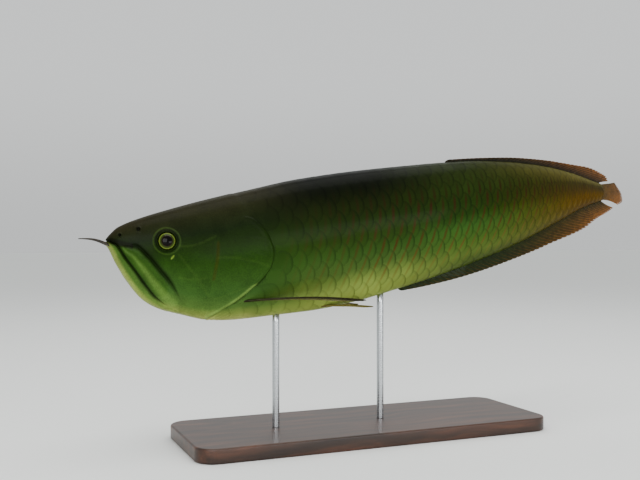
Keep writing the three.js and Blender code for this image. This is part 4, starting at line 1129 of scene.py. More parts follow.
# %% Finish of the scales: surface
RINGS = 95.0  # radians of the ring pattern out to the rim: 15 rings, a little under 1 mm apart
NET_PER_METRE = 700.0  # a net with meshes about 1.4 mm wide
rings = add_node(t, "ShaderNodeMath", {0: reach, 1: RINGS}, operation="MULTIPLY")
rings = add_node(t, "ShaderNodeMath", {0: rings}, operation="SINE")
net = add_node(t, "ShaderNodeTexNoise", {"Vector": place_in, "Scale": NET_PER_METRE, "Detail": 3.0})
grain = add_node(t, "ShaderNodeMath", {0: rings, 1: 0.25, 2: net}, operation="MULTIPLY_ADD")
finish = {
    "Base Color": colour,
    "Roughness": add_node(t, "ShaderNodeMapRange", {"Value": other_draw[2], "To Min": 0.34, "To Max": 0.46}),
    "IOR": 1.14,
    "Normal": add_node(t, "ShaderNodeBump", {"Strength": 0.06, "Distance": 0.0002, "Height": grain}),
    "Coat Weight": 0.05,
    "Coat Roughness": 0.15,
}
shader = add_node(t, "ShaderNodeBsdfPrincipled", finish)
add_node(t, "ShaderNodeOutputMaterial", {"Surface": shader})
print("scale finish:", len(t.nodes), "nodes")

# %% [markdown]
# The two coats come from the one tree with other settings. A modifier's inputs are set by their sockets'
# identifiers before the object is first looked at, and the result becomes a plain mesh. The OFBake map puts
# each scale in a cell of its own on the lattice, which is an unwrap of the skin's own shape.

# %% The two coats
def run_tree(name, tree, settings, base=None):
    """Runs a node tree on an object and gives its result as a plain mesh object."""
    carrier = bpy.data.objects.new(name, base or bpy.data.meshes.new(name))
    bpy.context.scene.collection.objects.link(carrier)
    modifier = carrier.modifiers.new("tree", "NODES")
    modifier.node_group = tree
    for item in tree.interface.items_tree:
        if item.in_out == "INPUT" and item.name in settings:
            modifier[item.identifier] = settings[item.name]
    carrier.update_tag()
    graph = bpy.context.evaluated_depsgraph_get()
    mesh = bpy.data.meshes.new_from_object(carrier.evaluated_get(graph), depsgraph=graph)
    carrier.modifiers.remove(modifier)
    carrier.data = mesh
    mesh.name = name
    return carrier


def add_bake_map(mesh):
    """A UV map with a cell for each scale at its own place on the lattice."""
    count = len(mesh.vertices)
    spot, local = np.empty(3 * count, np.float32), np.empty(3 * count, np.float32)
    mesh.attributes["spot"].data.foreach_get("vector", spot)
    mesh.attributes["on_scale"].data.foreach_get("vector", local)
    cell = spot.reshape(-1, 3)[:, :2] + 0.5 * local.reshape(-1, 3)[:, :2]
    cell = (cell + (1, ROWS_WIDE / 2)) / (COLUMNS_WIDE + 2, ROWS_WIDE)
    corner = np.empty(len(mesh.loops), np.int32)
    mesh.loops.foreach_get("vertex_index", corner)
    bake = mesh.uv_layers.new(name="OFBake")
    bake.data.foreach_set("uv", cell[corner].astype(np.float32).ravel())


for helper in (*lays.values(), one_scale):
    bpy.context.scene.collection.objects.link(helper)
# The rows on the midline of the back and belly belong to the left coat, so the right one has a row less.
COATS = {"left": (ROWS_UP, ROWS_DOWN, 7), "right": (ROWS_UP - 1, ROWS_DOWN - 1, 8)}
for side, (rows_up, rows_down, seed) in COATS.items():
    settings = {
        "Lay": lays[side],
        "Scale": one_scale,
        "Columns": COLUMNS_WIDE - 1,
        "Rows up": rows_up,
        "Rows down": rows_down,
        "Size": 1.0,
        "Variation": 0.03,
        "Seed": seed,
        "Turn faces": side == "right",
        "Finish": scale_material,
    }
    coat = run_tree(f"scales_{side}", coat_tree, settings)
    add_bake_map(coat.data)
    coat.data.shade_smooth()
    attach(coat, "root")
    print(coat.name, sum(len(p.vertices) - 2 for p in coat.data.polygons), "triangles")
for helper in (*lays.values(), one_scale):
    bpy.data.objects.remove(helper)

# %% [markdown]
# The eyes, the feelers and the skins of the fins are grids of points that are worked out here and joined into
# faces. One function joins them, and another makes the mesh and turns its faces outwards.

# %% Pieces made from grids of points
def half_width_at(s, z):
    """Half the body's width at share s and height z."""
    middle = widest_at(s)
    above = z >= middle
    edge = np.where(above, back_line(s), belly_line(s))
    power = np.where(above, back_squareness(s), belly_squareness(s))
    rest = np.clip(np.abs((z - middle) / (edge - middle)), 0, 1)
    return half_width(s) * (1 - rest**power) ** (1 / power)


def from_straight(points):
    """Points given as x, y and z of the straight fish, posed over the stand."""
    points = np.asarray(points, float)
    return place(points[..., 0] / BODY_LENGTH, points[..., 1], points[..., 2])


def on_skin(x, z, side, lift=0.0):
    """Points on the side of the straight fish, a little above the skin."""
    x, z = np.broadcast_arrays(np.asarray(x, float), np.asarray(z, float))
    return np.stack([x, side * (half_width_at(x / BODY_LENGTH, z) + lift), z], -1)


def turns_round(count):
    """Angles that go once round a circle."""
    return np.arange(count) * 2 * math.pi / count


def grid_faces(rows, columns, closed=False):
    """Quads over a grid of points; closed joins the last column to the first."""
    faces = []
    for i in range(rows - 1):
        for k in range(columns if closed else columns - 1):
            after = (k + 1) % columns
            faces.append((i * columns + k, (i + 1) * columns + k, (i + 1) * columns + after, i * columns + after))
    return faces


def add_piece(name, points, faces, material, floats=None):
    """A mesh object in the scene, smooth and with its faces turned outwards."""
    mesh = bpy.data.meshes.new(name)
    mesh.from_pydata(np.asarray(points).tolist(), [], faces)
    add_floats(mesh, floats or {})
    shell = bmesh.new()
    shell.from_mesh(mesh)
    bmesh.ops.recalc_face_normals(shell, faces=shell.faces)
    shell.to_mesh(mesh)
    shell.free()
    mesh.shade_smooth()
    mesh.materials.append(material)
    piece = bpy.data.objects.new(name, mesh)
    bpy.context.scene.collection.objects.link(piece)
    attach(piece, "root")
    return piece


print("the head is", round(2 * float(half_width_at(EYE["x"] / BODY_LENGTH, EYE["z"]))), "mm wide at the eyes")

# %% [markdown]
# An arowana's eye is a flat lens, almost level with its cheek. The colours read how far a point is from the
# axis that points straight out of the head: a black pupil, a thin rust-red rim, a soft yellow-green ring and a
# dark outer part, with fine streaks that run outwards. The cornea over them is clear and wet, which gives a
# small, sharp highlight, but a weaker one than in air, because the eye is seen in water.

# %% Finish of the eyes
EYE_COLOURS = [
    (0.0, "#060404"), (0.5, "#0a0605"), (0.56, "#2a160b"), (0.61, "#2f3a15"), (0.73, "#3b491b"), (0.77, "#5c6b2f"),
    (0.825, "#75823f"), (0.875, "#38441c"), (0.91, "#1c230e"), (1.0, "#10140a"),
]
MM_ACROSS_RAMP = 10
RING_WANDER = 0.09
STREAK_STRETCH = (0.25, 9.0, 0)  # the streaks are much longer outwards than round

eye_material, t = new_material("clear cornea over a yellow-green iris")
from_axis = add_node(t, "ShaderNodeAttribute", attribute_name="eye_r").outputs["Fac"]
around = add_node(t, "ShaderNodeAttribute", attribute_name="eye_turn").outputs["Fac"]
streak = add_node(t, "ShaderNodeCombineXYZ", {0: from_axis, 1: around})
streak = add_node(t, "ShaderNodeVectorMath", {0: streak, 1: STREAK_STRETCH}, operation="MULTIPLY")
streak = add_node(t, "ShaderNodeTexNoise", {"Vector": streak, "Scale": 1.6, "Detail": 4.0})
wobble = add_node(t, "ShaderNodeMath", {0: streak, 1: RING_WANDER, 2: -RING_WANDER / 2}, operation="MULTIPLY_ADD")
on_ramp = add_node(t, "ShaderNodeMath", {0: from_axis, 1: 1 / MM_ACROSS_RAMP, 2: wobble}, operation="MULTIPLY_ADD")
iris = set_ramp(add_node(t, "ShaderNodeValToRGB", {"Fac": on_ramp}), EYE_COLOURS)
finish = {
    "Base Color": iris,
    "Roughness": 0.3,
    "IOR": 1.1,
    "Coat Weight": 1.0,
    "Coat Roughness": 0.04,
    "Coat IOR": 1.24,
}
shader = add_node(t, "ShaderNodeBsdfPrincipled", finish)
add_node(t, "ShaderNodeOutputMaterial", {"Surface": shader})
print("eye finish:", len(t.nodes), "nodes")

# %% [markdown]
# Each eye is a shallow dome that is turned on an axis square to the skin, and its round pupil swells out of it
# a little. A single point closes it in front and another behind.

# %% Eyes
EYE_THICK = 5.2
PUPIL_RADIUS, PUPIL_EDGE = 5.8, 1.5
PUPIL_SWELL = 0.45
EYE_RINGS, EYE_ROUND = 30, 72
SKIN_STEP = 1.5  # how far to each side the skin is felt to find which way it faces

radii = EYE["radius"] * np.sin(np.linspace(0, math.pi / 2, EYE_RINGS + 1)[1:])
heights = EYE_THICK * np.sqrt(1 - np.clip(radii / EYE["radius"], 0, 1) ** 2)
heights += PUPIL_SWELL * (1 - ease(radii, PUPIL_RADIUS - 1.0, PUPIL_RADIUS - 1.0 + PUPIL_EDGE))
turns = turns_round(EYE_ROUND)
floats = {
    "eye_r": np.concatenate([np.repeat(radii, EYE_ROUND), [0, EYE["radius"]]]),
    "eye_turn": np.concatenate([np.tile(np.abs(turns - math.pi), EYE_RINGS), [0, 0]]),
}
tip, back, last_ring = EYE_RINGS * EYE_ROUND, EYE_RINGS * EYE_ROUND + 1, (EYE_RINGS - 1) * EYE_ROUND
faces = grid_faces(EYE_RINGS, EYE_ROUND, closed=True)
faces += [(tip, k, (k + 1) % EYE_ROUND) for k in range(EYE_ROUND)]
faces += [(back, last_ring + (k + 1) % EYE_ROUND, last_ring + k) for k in range(EYE_ROUND)]
for word, side in SIDES.items():
    along = on_skin(EYE["x"] + SKIN_STEP, EYE["z"], side) - on_skin(EYE["x"] - SKIN_STEP, EYE["z"], side)
    up = on_skin(EYE["x"], EYE["z"] + SKIN_STEP, side) - on_skin(EYE["x"], EYE["z"] - SKIN_STEP, side)
    out = np.cross(along, up)
    out *= np.sign(out[1] * side) / np.linalg.norm(out)
    along /= np.linalg.norm(along)
    up = np.cross(out, along)
    centre = on_skin(EYE["x"], EYE["z"], side) - out * EYE["sink"]
    disc = np.cos(turns)[:, None] * along + np.sin(turns)[:, None] * up
    front = centre + radii[:, None, None] * disc + heights[:, None, None] * out
    points = [*front.reshape(-1, 3), centre + out * (EYE_THICK + PUPIL_SWELL), centre - out]
    eye = add_piece(f"fish_eye_{word}", from_straight(points), faces, eye_material, floats)
    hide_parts(f"eye_{word}")
print("eyes", round(2 * EYE["radius"], 1), "mm across")

# %% [markdown]
# Two feelers grow from the tip of the lower jaw. Each is a tapered tube on a gently rising curve. Its skin is
# dark and smooth with small paler flecks, and duller than the head's, so that it shows as a plain dark line.

# %% Barbels
# The place where a feeler leaves the jaw is given as x, y and z; the other numbers are millimetres for the
# radii, and shares of the length for how far it goes out and up and how far it bows.
BARBEL = {"length": 30, "root": 2, "tip": 0.45, "out": 0.2, "rise": 0.43, "bow_out": 0.06, "bow_up": 0.08}
BARBEL_START = (0.006 * BODY_LENGTH, 4.2, 31.0)
BARBEL_IN_JAW = 0.12
BARBEL_RINGS, BARBEL_ROUND = 30, 18
FLECKS_PER_METRE = 500.0  # waves 2 mm long, so flecks about 1 mm wide
BARBEL_COLOURS = [(0.3, "#15110c"), (0.75, "#3a3020")]

barbel_material, t = new_material("dark smooth skin of a feeler")
place_in = add_node(t, "ShaderNodeTexCoord").outputs["Object"]
fleck = add_node(t, "ShaderNodeTexNoise", {"Vector": place_in, "Scale": FLECKS_PER_METRE, "Detail": 2.0})
tone = set_ramp(add_node(t, "ShaderNodeValToRGB", {"Fac": fleck}), BARBEL_COLOURS)
shader = add_node(t, "ShaderNodeBsdfPrincipled", {"Base Color": tone, "Roughness": 0.38})
add_node(t, "ShaderNodeOutputMaterial", {"Surface": shader})

length = BARBEL["length"]
along = np.linspace(-BARBEL_IN_JAW, 1, BARBEL_RINGS + 1)
out = length * (BARBEL["out"] * along + BARBEL["bow_out"] * np.sin(math.pi * along))
up = length * (BARBEL["rise"] * along + BARBEL["bow_up"] * np.sin(math.pi * along * 1.1))
radii = BARBEL["root"] + (BARBEL["tip"] - BARBEL["root"]) * np.clip(along, 0, 1) ** 0.8
radii[-1] *= 0.5
turns = turns_round(BARBEL_ROUND)
circle = np.stack([np.zeros_like(turns), np.cos(turns), np.sin(turns)], -1)
root_end, tip_end = (BARBEL_RINGS + 1) * BARBEL_ROUND, (BARBEL_RINGS + 1) * BARBEL_ROUND + 1
faces = grid_faces(BARBEL_RINGS + 1, BARBEL_ROUND, closed=True)
for k in range(BARBEL_ROUND):
    after = (k + 1) % BARBEL_ROUND
    faces.append((root_end, k, after))
    faces.append((tip_end, BARBEL_RINGS * BARBEL_ROUND + after, BARBEL_RINGS * BARBEL_ROUND + k))
for word, side in SIDES.items():
    centres = np.array(BARBEL_START) * (1, side, 1) + np.stack([-length * along, side * out, up], -1)
    points = (centres[:, None] + radii[:, None, None] * circle).reshape(-1, 3)
    points = np.concatenate([points, centres[[0, -1]]])
    barbel = add_piece(f"feeler_{word}", from_straight(points), faces, barbel_material)
    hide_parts(f"barbel_{word}")
print("feelers", BARBEL["length"], "mm long")

# %% [markdown]
# A fin is a thin skin stretched over bony rays. One rule describes each fin: where its middle surface lies at
# share u along its root and v out to its edge. The skin and the rays both follow that rule. Along the back
# and the belly the rays lean back at a shallow angle, as they do when the fish swims.

# %% The shapes of the fins
CUT = 0.3  # how far outside the body's outline a fin's own shape begins
ROOT_DEPTH = 2.2  # how far the long fins go into the body, in millimetres
MEDIAN_INSET, CAUDAL_INSET = -0.1, -0.07  # the v that their skins start at, inside the body
dorsal_height = through((0, 2.5), (0.12, 3), (0.33, 6), (0.6, 10), (0.72, 14), (0.82, 18.5), (0.93, 16), (1, 8))
dorsal_lean = through((0, 30), (0.6, 28), (0.93, 24), (1, 18))
anal_height = through(
    (0, 3), (0.07, 7), (0.2, 12.5), (0.4, 18), (0.55, 23), (0.7, 31), (0.8, 29), (0.88, 23.5), (1, 17.5)
)
anal_lean = through((0, 42), (0.5, 37), (0.88, 29), (1, 29))
caudal_length = through((0, 42), (0.25, 52), (0.5, 62), (0.75, 64), (1, 46))
CAUDAL = {"top": 0, "bottom": -16, "root_top": 14, "root_bottom": -6}
PECTORAL = {"x": (131, 149), "z": -49, "tip": (275, -71), "reach": 47, "inner": 62, "inner_out": 25, "sink": 3}
PELVIC = {"x": (228, 240), "z": -72.5, "tip": (291, -83), "reach": 21, "inner": 34, "inner_out": 10, "sink": 2}

# How far the long fins' rays bow: they stand steeper at the root and lie lower at the edge.
STEEP_AT_ROOT, LESS_BY_EDGE, LONGER, SHORTER_BY_EDGE = 1.12, 0.24, 1.12, 0.12
SLOPE_STEP = 0.004  # share of the length over which the slope of the back or belly is measured
FAN_AT_ROOT, FAN_GROWS = 0.55, 0.45  # how much of its spread the tail fin has at its root, and gains further out


def lerp(a, b, t):
    """What lies at share t of the way from a to b."""
    return a + (b - a) * t


def median_fin(start, end, edge, up, lean, height):
    """A fin on the midline of the back (up 1) or the belly (up -1). Below v = 0 it goes straight into the body."""

    def middle(u, v):
        s = lerp(start, end, u)
        lay = np.radians(lean(u))
        tilt = np.arctan((edge(s + SLOPE_STEP) - edge(s - SLOPE_STEP)) / (2 * SLOPE_STEP * BODY_LENGTH))
        reach = np.maximum(v, 0)
        out = reach * height(u) / np.sin(lay) * (1 - SHORTER_BY_EDGE * reach) * LONGER
        angle = tilt + up * lay * (STEEP_AT_ROOT - LESS_BY_EDGE * reach)
        sunk = ROOT_DEPTH * np.minimum(v, 0) / -MEDIAN_INSET
        z = edge(s) + up * (CUT + sunk) + out * np.sin(angle)
        return place(s + out * np.cos(angle) / BODY_LENGTH, 0, z)

    return middle


def caudal_fin(u, v):
    """The tail fin, a fan of rays that spreads more the further out it goes."""
    angle = np.radians(lerp(CAUDAL["top"], CAUDAL["bottom"], u)) * (FAN_AT_ROOT + FAN_GROWS * v)
    out = v * caudal_length(u)
    z = lerp(CAUDAL["root_top"], CAUDAL["root_bottom"], u) + out * np.sin(angle)
    return place(1 + (CUT + out * np.cos(angle)) / BODY_LENGTH, 0, z)


def paired_fin(fin, side):
    """A fin low on one side of the body, swept back, with its first ray the longest."""

    def middle(u, v):
        v = np.maximum(v, 0)
        x0 = lerp(*fin["x"], u)
        root = on_skin(x0, fin["z"] - 1.5 * u, side, -fin["sink"])
        tip_x = lerp(fin["tip"][0], x0 + fin["inner"], u**0.7)
        tip_y = side * lerp(fin["reach"], fin["inner_out"], u**0.8)
        tip = np.stack([tip_x, tip_y, lerp(fin["tip"][1], fin["z"] - 8, u)], -1)
        at = lerp(root, tip, v[..., None])
        # Each ray bows a little outwards and upwards, the inner ones less.
        bow = np.linalg.norm(tip - root, axis=-1) * np.sin(math.pi * v)
        at[..., 1] += side * (1 - u * 0.6) * 0.08 * bow
        at[..., 2] += 0.035 * bow * (1 - u)
        return from_straight(at)

    return middle


dorsal = median_fin(0.6, 0.995, back_line, 1, dorsal_lean, dorsal_height)
anal = median_fin(0.476, 0.995, belly_line, -1, anal_lean, anal_height)
FINS = {
    # fin: (middle surface, number of rays, half the thickness at the root and at the edge, v at its start)
    "dorsal": (dorsal, 44, (0.95, 0.42), MEDIAN_INSET),
    "anal": (anal, 52, (0.95, 0.42), MEDIAN_INSET),
    "caudal": (caudal_fin, 16, (1.5, 0.42), CAUDAL_INSET),
    "pectoral_left": (paired_fin(PECTORAL, -1), 10, (1.15, 0.4), 0),
    "pectoral_right": (paired_fin(PECTORAL, 1), 10, (1.15, 0.4), 0),
    "pelvic_left": (paired_fin(PELVIC, -1), 7, (1.0, 0.35), 0),
    "pelvic_right": (paired_fin(PELVIC, 1), 7, (1.0, 0.35), 0),
}
print(sum(fin[1] for fin in FINS.values()), "rays in", len(FINS), "fins")

# %% [markdown]
# The rays come from a node tree. Its guide is a mesh of bare edges: each ray runs out from the root as one
# stem and forks twice, ever thinner. The tree turns the guide into curves, gives each point the radius it
# carries, and sweeps a circle along them.

# %% The rays' node tree
ray_tree = bpy.data.node_groups.new("fin rays", "GeometryNodeTree")
ray_tree.is_modifier = True
ray_tree.interface.new_socket("Geometry", in_out="OUTPUT", socket_type="NodeSocketGeometry")
RAY_INPUTS = {
    "Guides": "NodeSocketGeometry",
    "Thickness": "NodeSocketFloat",
    "Sides": "NodeSocketInt",
    "Finish": "NodeSocketMaterial",
}
for name, kind in RAY_INPUTS.items():
    ray_tree.interface.new_socket(name, in_out="INPUT", socket_type=kind)
t = ray_tree
given = t.nodes.new("NodeGroupInput").outputs
curves = add_node(t, "GeometryNodeMeshToCurve", {"Mesh": given["Guides"]})
own = add_node(t, "GeometryNodeInputNamedAttribute", {"Name": "ray_radius"}, data_type="FLOAT")
radius = add_node(t, "ShaderNodeMath", {0: own, 1: given["Thickness"]}, operation="MULTIPLY")
curves = add_node(t, "GeometryNodeSetCurveRadius", {"Curve": curves, "Radius": radius})
section = add_node(t, "GeometryNodeCurvePrimitiveCircle", {"Resolution": given["Sides"], "Radius": 1.0})
swept = {"Curve": curves, "Profile Curve": section, "Scale": radius, "Fill Caps": True}
rays = add_node(t, "GeometryNodeCurveToMesh", swept)
rays = add_node(t, "GeometryNodeSetShadeSmooth", {"Geometry": rays})
rays = add_node(t, "GeometryNodeRealizeInstances", {"Geometry": rays})
rays = add_node(t, "GeometryNodeSetMaterial", {"Geometry": rays, "Material": given["Finish"]})
t.links.new(rays.outputs[0], t.nodes.new("NodeGroupOutput").inputs[0])
print("ray tree:", len(t.nodes), "nodes")

# %% [markdown]
# The skin of the fins is olive like the body at the root, and turns brown and then rusty orange at the edge,
# more so towards the tail. The rays stand out in a lighter, warmer tone, crossed by the fine joints that let
# them bend. The paired fins are paler, with a dark first ray. Both are wet and thin, which gives the eye a soft
# sheen that the blotches of colour break up.

# %% Finishes of the fins
FIN_TONES = {
    # fin: (front root, front edge, rear root, rear edge, first ray)
    "dorsal": ("#1a1a0d", "#231d0e", "#2c2210", "#5a3a1a", "#231d0e"),
    "anal": ("#202c11", "#1f270d", "#362f10", "#5f3e18", "#232d10"),
    "caudal": ("#4c3c14", "#5a3c16", "#4c3c14", "#6b4519", "#4c3812"),
    "pectoral": ("#6a7434", "#575a22", "#8a8a48", "#7d7a3a", "#2c2a12"),
    "pelvic": ("#8b8f4c", "#8a8444", "#8b8f4c", "#8a8444", "#5d5626"),
}
RUST = "#9a622a"
RAY_RUST = 0.45  # how much of it the rays take at most
BLOTCHES_PER_METRE = 160.0  # waves about 6 mm long, so blotches about 3 mm wide
JOINTS = 170.0  # radians of the joints' pattern along a ray, which makes 27 joints


def fin_material(name, tones, warmth):
    """Colours between root and edge and between front and rear; warmth mixes a light rusty tone in."""
    material, t = new_material(name)
    stored = ("ray_u", "ray_v", "first_ray")
    u, v, first = (add_node(t, "ShaderNodeAttribute", attribute_name=name).outputs["Fac"] for name in stored)
    outward = add_node(t, "ShaderNodeMapRange", {"Value": v, "From Min": 0.0, "From Max": 0.9})
    rearward = {"Value": u, "From Min": 0.35, "From Max": 0.9}
    rearward = add_node(t, "ShaderNodeMapRange", rearward, interpolation_type="SMOOTHSTEP")
    rusty = {0: rearward, 1: warmth * 0.6, 2: warmth * 0.4}
    rusty = add_node(t, "ShaderNodeMath", rusty, operation="MULTIPLY_ADD")
    rusty = add_node(t, "ShaderNodeMath", {0: rusty, 1: outward}, operation="MULTIPLY")
    front_root, front_edge, rear_root, rear_edge, first_ray = (linear(tone) for tone in tones)
    front = {FACTOR: outward, COLOUR_A: front_root, COLOUR_B: front_edge}
    colour = add_node(t, "ShaderNodeMix", front, data_type="RGBA").outputs[MIXED]
    rear = {FACTOR: outward, COLOUR_A: rear_root, COLOUR_B: rear_edge}
    rear = add_node(t, "ShaderNodeMix", rear, data_type="RGBA").outputs[MIXED]
    for factor, other in ((rearward, rear), (rusty, linear(RUST)), (first, first_ray)):
        mixed = {FACTOR: factor, COLOUR_A: colour, COLOUR_B: other}
        colour = add_node(t, "ShaderNodeMix", mixed, data_type="RGBA").outputs[MIXED]
    place_in = add_node(t, "ShaderNodeTexCoord").outputs["Object"]
    blotch = add_node(t, "ShaderNodeTexNoise", {"Vector": place_in, "Scale": BLOTCHES_PER_METRE, "Detail": 3.0})
    light = {"Value": blotch, "From Min": 0.3, "From Max": 0.7, "To Min": 0.72, "To Max": 1.25}
    light = add_node(t, "ShaderNodeMapRange", light)
    joints = add_node(t, "ShaderNodeMath", {0: v, 1: JOINTS}, operation="MULTIPLY")
    joints = add_node(t, "ShaderNodeMath", {0: joints}, operation="SINE")
    finish = {
        "Base Color": add_node(t, "ShaderNodeVectorMath", {0: colour, "Scale": light}, operation="SCALE"),
        "Roughness": 0.42,
        "IOR": 1.25,
        "Normal": add_node(t, "ShaderNodeBump", {"Strength": 0.25, "Distance": 0.0002, "Height": joints}),
        "Coat Weight": 0.08,
    }
    shader = add_node(t, "ShaderNodeBsdfPrincipled", finish)
    add_node(t, "ShaderNodeOutputMaterial", {"Surface": shader})
    return material


fin_finishes = {}
for kind, tones in FIN_TONES.items():
    fin_finishes[kind] = {
        "skin": fin_material(f"{kind} fin skin, thin and wet", tones, 0.0),
        "rays": fin_material(f"{kind} fin rays, jointed bone under skin", tones, RAY_RUST),
    }
print(len(fin_finishes) * 2, "finishes for the fins")

# %% [markdown]
# The skin of a fin is a closed sheet. Its edge is scalloped: it reaches furthest at each ray's tip and hangs
# back between them.

# %% The skins of the fins
CELLS_PER_RAY = 6
SKIN_ROWS = 14
SKIN_SHARE = 0.42  # how thick the skin is beside a ray
NOTCH, NOTCH_IN_FRONT = 0.14, 0.4  # how deep the scallops are, and what share of that the front ones are


def fin_skin(name, middle, rays, half_thick, inset, material):
    """A closed sheet on both sides of a fin's middle surface, scalloped between the rays."""
    columns, rows = rays * CELLS_PER_RAY + 1, SKIN_ROWS + 1
    u = np.repeat(np.linspace(0, 1, columns)[:, None], rows, 1)
    deeper = NOTCH_IN_FRONT + (1 - NOTCH_IN_FRONT) * u
    reach = 1 - NOTCH * deeper * np.abs(np.cos(math.pi * u * rays)) ** 1.5
    v = np.linspace(0, 1, rows)[None, :] * (reach - inset) + inset
    centre = middle(u, v)
    across = np.cross(np.gradient(centre, axis=0), np.gradient(centre, axis=1))
    across /= np.linalg.norm(across, axis=-1)[..., None] + 1e-12
    out = across * (SKIN_SHARE * lerp(*half_thick, np.clip(v, 0, 1)) * MM)[..., None]
    points = np.concatenate([(centre + out).reshape(-1, 3), (centre - out).reshape(-1, 3)])
    near = grid_faces(columns, rows)
    back = columns * rows
    faces = near + [tuple(back + i for i in face[::-1]) for face in near]
    # The two sides are joined all the way round: root, rear, edge and front.
    border = [(i, 0) for i in range(columns)] + [(columns - 1, k) for k in range(1, rows)]
    border += [(i, rows - 1) for i in range(columns - 2, -1, -1)] + [(0, k) for k in range(rows - 2, 0, -1)]
    border = [i * rows + k for i, k in border]
    faces += [(a, b, back + b, back + a) for a, b in zip(border, border[1:] + border[:1])]
    floats = {
        "ray_u": np.tile(u.ravel(), 2),
        "ray_v": np.tile(v.ravel(), 2),
        "first_ray": np.tile((1 - ease(u * rays, 0.3, 1.2)).ravel(), 2),
    }
    return add_piece(name, points, faces, material, floats)


print(CELLS_PER_RAY, "cells of skin to a ray")

# %% [markdown]
# The guides of the rays are bare edges that carry a radius at each point. The first ray of a fin is thicker
# than the rest, and the forks get thinner each time. Then every fin gets its skin and its rays.

# %% The rays, and all the fins
GUIDE_STEPS = 9
FIRST_RAY_THICKER = 1.35
FORKS = [
    # (from v, to v, how thick, spread at the start and the end in shares of a ray's room)
    (0.0, 0.5, 1.0, [(0.0, 0.0)]),
    (0.5, 0.78, 0.8, [(0.0, -0.16), (0.0, 0.16)]),
    (0.78, 0.985, 0.62, [(-0.16, -0.3), (-0.16, -0.07), (0.16, 0.07), (0.16, 0.3)]),
]


def ray_guides(name, middle, rays, half_thick, inset):
    """Bare edges for all the rays of a fin, with a radius at each point."""
    us, vs, radii, edges = [], [], [], []
    for ray in range(rays):
        for low, high, thick, spreads in FORKS:
            for before, after in spreads:
                v = np.linspace(inset if low == 0 else low, high, GUIDE_STEPS)
                share = (v - v[0]) / (v[-1] - v[0])
                thin = lerp(*half_thick, np.clip(v, 0, 1)) * thick
                first = len(us) * GUIDE_STEPS
                edges += [(first + k, first + k + 1) for k in range(GUIDE_STEPS - 1)]
                us.append((ray + 0.5 + before + (after - before) * share**0.8) / rays)
                vs.append(v)
                radii.append(thin * (FIRST_RAY_THICKER if ray == 0 else 1.0) * MM)
    u, v, radii = (np.concatenate(a) for a in (us, vs, radii))
    mesh = bpy.data.meshes.new(name)
    mesh.from_pydata(middle(np.clip(u, 0, 1), v).tolist(), edges, [])
    add_floats(mesh, {"ray_radius": radii, "ray_u": u, "ray_v": v, "first_ray": u * rays < 1})
    return mesh


for name, (middle, rays, half_thick, inset) in FINS.items():
    kind, _, side = name.partition("_")
    solid = f"{kind}_fin_{side}" if side else f"{kind}_fin"
    skin_piece = fin_skin(f"{name}_fin_skin", middle, rays, half_thick, inset, fin_finishes[kind]["skin"])
    guides = ray_guides(f"{name}_rays", middle, rays, half_thick, inset)
    settings = {"Thickness": 0.9, "Sides": 8, "Finish": fin_finishes[kind]["rays"]}
    ray_piece = run_tree(f"{name}_fin_rays", ray_tree, settings, guides)
    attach(ray_piece, "root")
    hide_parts(solid)
    print(name, len(skin_piece.data.polygons), "faces of skin,", len(ray_piece.data.polygons), "of rays")

# %% [markdown]
# The stand is as plain as a museum's: a board with a small rounded edge, and two rods whose tops reach past the
# keel of the belly, as if notched to hold it. The wood is stained dark and varnished to a satin, so that it
# shows its grain under a broad soft shine. The steel is brushed round the rod, so that it gives grey streaks of
# light instead of a mirror's.

# %% Finishes of the stand
WOOD_COLOURS = [(0.3, "#20120b"), (0.45, "#331f13"), (0.58, "#46291a"), (0.7, "#5a3724")]
GRAIN_BEND = (0.0, 0.05, 0.05)  # metres: how far the grain strays from straight
GRAIN_DRAWN_OUT = (1.2, 22.0, 22.0)  # eighteen times longer along the board than across it
GRAIN_SCALE = 4.0  # so the grain's waves are about 11 mm wide, with finer lines inside them
PORES_PER_METRE = (18.0, 900.0, 900.0)  # waves 1 mm wide and 55 mm long
BRUSH_PER_METRE = (60.0, 60.0, 3500.0)  # scratches 0.3 mm apart, coarser than real ones so that they show

wood_material, t = new_material("dark stained wood, satin varnish")
place_in = add_node(t, "ShaderNodeTexCoord").outputs["Object"]
bend = add_node(t, "ShaderNodeTexNoise", {"Vector": place_in, "Scale": 5.0, "Detail": 2.0}).outputs["Color"]
bend = add_node(t, "ShaderNodeVectorMath", {0: bend, 1: GRAIN_BEND, 2: place_in}, operation="MULTIPLY_ADD")
drawn_out = add_node(t, "ShaderNodeVectorMath", {0: bend, 1: GRAIN_DRAWN_OUT}, operation="MULTIPLY")
grain = {"Vector": drawn_out, "Scale": GRAIN_SCALE, "Detail": 6.0, "Roughness": 0.6}
grain = add_node(t, "ShaderNodeTexNoise", grain)
tone = set_ramp(add_node(t, "ShaderNodeValToRGB", {"Fac": grain}), WOOD_COLOURS)
pores = add_node(t, "ShaderNodeVectorMath", {0: place_in, 1: PORES_PER_METRE}, operation="MULTIPLY")
pores = add_node(t, "ShaderNodeTexNoise", {"Vector": pores, "Scale": 1.0, "Detail": 2.0})
height = add_node(t, "ShaderNodeMath", {0: grain, 1: pores}, operation="ADD")
finish = {
    "Base Color": tone,
    "Roughness": 0.42,
    "Normal": add_node(t, "ShaderNodeBump", {"Strength": 0.12, "Distance": 0.0004, "Height": height}),
    "Coat Weight": 0.35,
    "Coat Roughness": 0.25,
}
shader = add_node(t, "ShaderNodeBsdfPrincipled", finish)
add_node(t, "ShaderNodeOutputMaterial", {"Surface": shader})

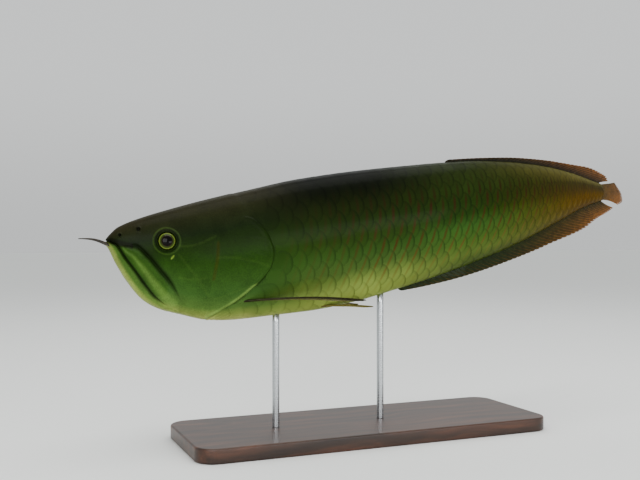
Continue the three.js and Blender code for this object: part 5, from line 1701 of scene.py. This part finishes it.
steel_material, t = new_material("brushed steel")
place_in = add_node(t, "ShaderNodeTexCoord").outputs["Object"]
brushed = add_node(t, "ShaderNodeVectorMath", {0: place_in, 1: BRUSH_PER_METRE}, operation="MULTIPLY")
brushed = add_node(t, "ShaderNodeTexNoise", {"Vector": brushed, "Scale": 1.0, "Detail": 2.0})
finish = {
    "Base Color": linear("#b9bcbf"),
    "Metallic": 1.0,
    "Roughness": add_node(t, "ShaderNodeMapRange", {"Value": brushed, "To Min": 0.2, "To Max": 0.36}),
    "Normal": add_node(t, "ShaderNodeBump", {"Strength": 0.06, "Distance": 0.0001, "Height": brushed}),
}
shader = add_node(t, "ShaderNodeBsdfPrincipled", finish)
add_node(t, "ShaderNodeOutputMaterial", {"Surface": shader})
print("two finishes for the stand")

# %% [markdown]
# The board and the rods are stacks of rings of points, like the eyes, closed by a flat face at each end. Their
# sides are smooth and their ends are flat.

# %% The stand
BASE = {"length": 430, "width": 150, "thick": 16, "corner": 22, "bevel": 2}
ROD_RADIUS = 4
ROD_STATIONS = {"front": 0.25, "rear": 0.44}
ROD_GRIP = 5  # how far a rod reaches past the keel
FIRST_LEVEL, ROD_LEVELS = 0.4, 12
CORNER_STEPS, BEVEL_STEPS, ROD_ROUND = 14, 6, 64


def add_stack(name, rings, material):
    """A closed piece from rings of points in millimetres, with smooth sides and flat ends."""
    around = len(rings[0])
    faces = grid_faces(len(rings), around, closed=True)
    faces += [tuple(range(around)), tuple((len(rings) - 1) * around + k for k in range(around))]
    piece = add_piece(name, np.array(rings).reshape(-1, 3) * MM, faces, material)
    for face in piece.data.polygons:
        face.use_smooth = len(face.vertices) == 4
    return piece


def board_ring(inset, z):
    """The board's rounded outline, moved in by a distance, at a height."""
    half_x, half_y = BASE["length"] / 2 - BASE["corner"], BASE["width"] / 2 - BASE["corner"]
    radius = BASE["corner"] - inset
    points = []
    for n, (x, y) in enumerate(((half_x, half_y), (-half_x, half_y), (-half_x, -half_y), (half_x, -half_y))):
        turns = np.linspace(0, math.pi / 2, CORNER_STEPS + 1) + n * math.pi / 2
        points += [(x + radius * math.cos(a), y + radius * math.sin(a), z) for a in turns]
    return points


bevel, thick = BASE["bevel"], BASE["thick"]
bevel_turn = np.linspace(0, math.pi / 2, BEVEL_STEPS + 1)
rings = [board_ring(bevel * (1 - math.sin(a)), bevel * (1 - math.cos(a))) for a in bevel_turn]
rings += [board_ring(bevel * (1 - math.cos(a)), thick - bevel * (1 - math.sin(a))) for a in bevel_turn]
board = add_stack("display_board", rings, wood_material)
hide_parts("stand_base")

for word, s in ROD_STATIONS.items():
    x, y, top = place(s, 0, float(belly_line(s))) / MM
    levels = [thick, *np.linspace(thick + FIRST_LEVEL, top + ROD_GRIP, ROD_LEVELS)]
    turns = turns_round(ROD_ROUND)
    rings = [[(x + ROD_RADIUS * math.cos(a), y + ROD_RADIUS * math.sin(a), z) for a in turns] for z in levels]
    bar = add_stack(f"{word}_rod", rings, steel_material)
    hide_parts(f"stand_rod_{word}")
print("board", BASE["length"], "by", BASE["width"], "mm; two rods", 2 * ROD_RADIUS, "mm thick")
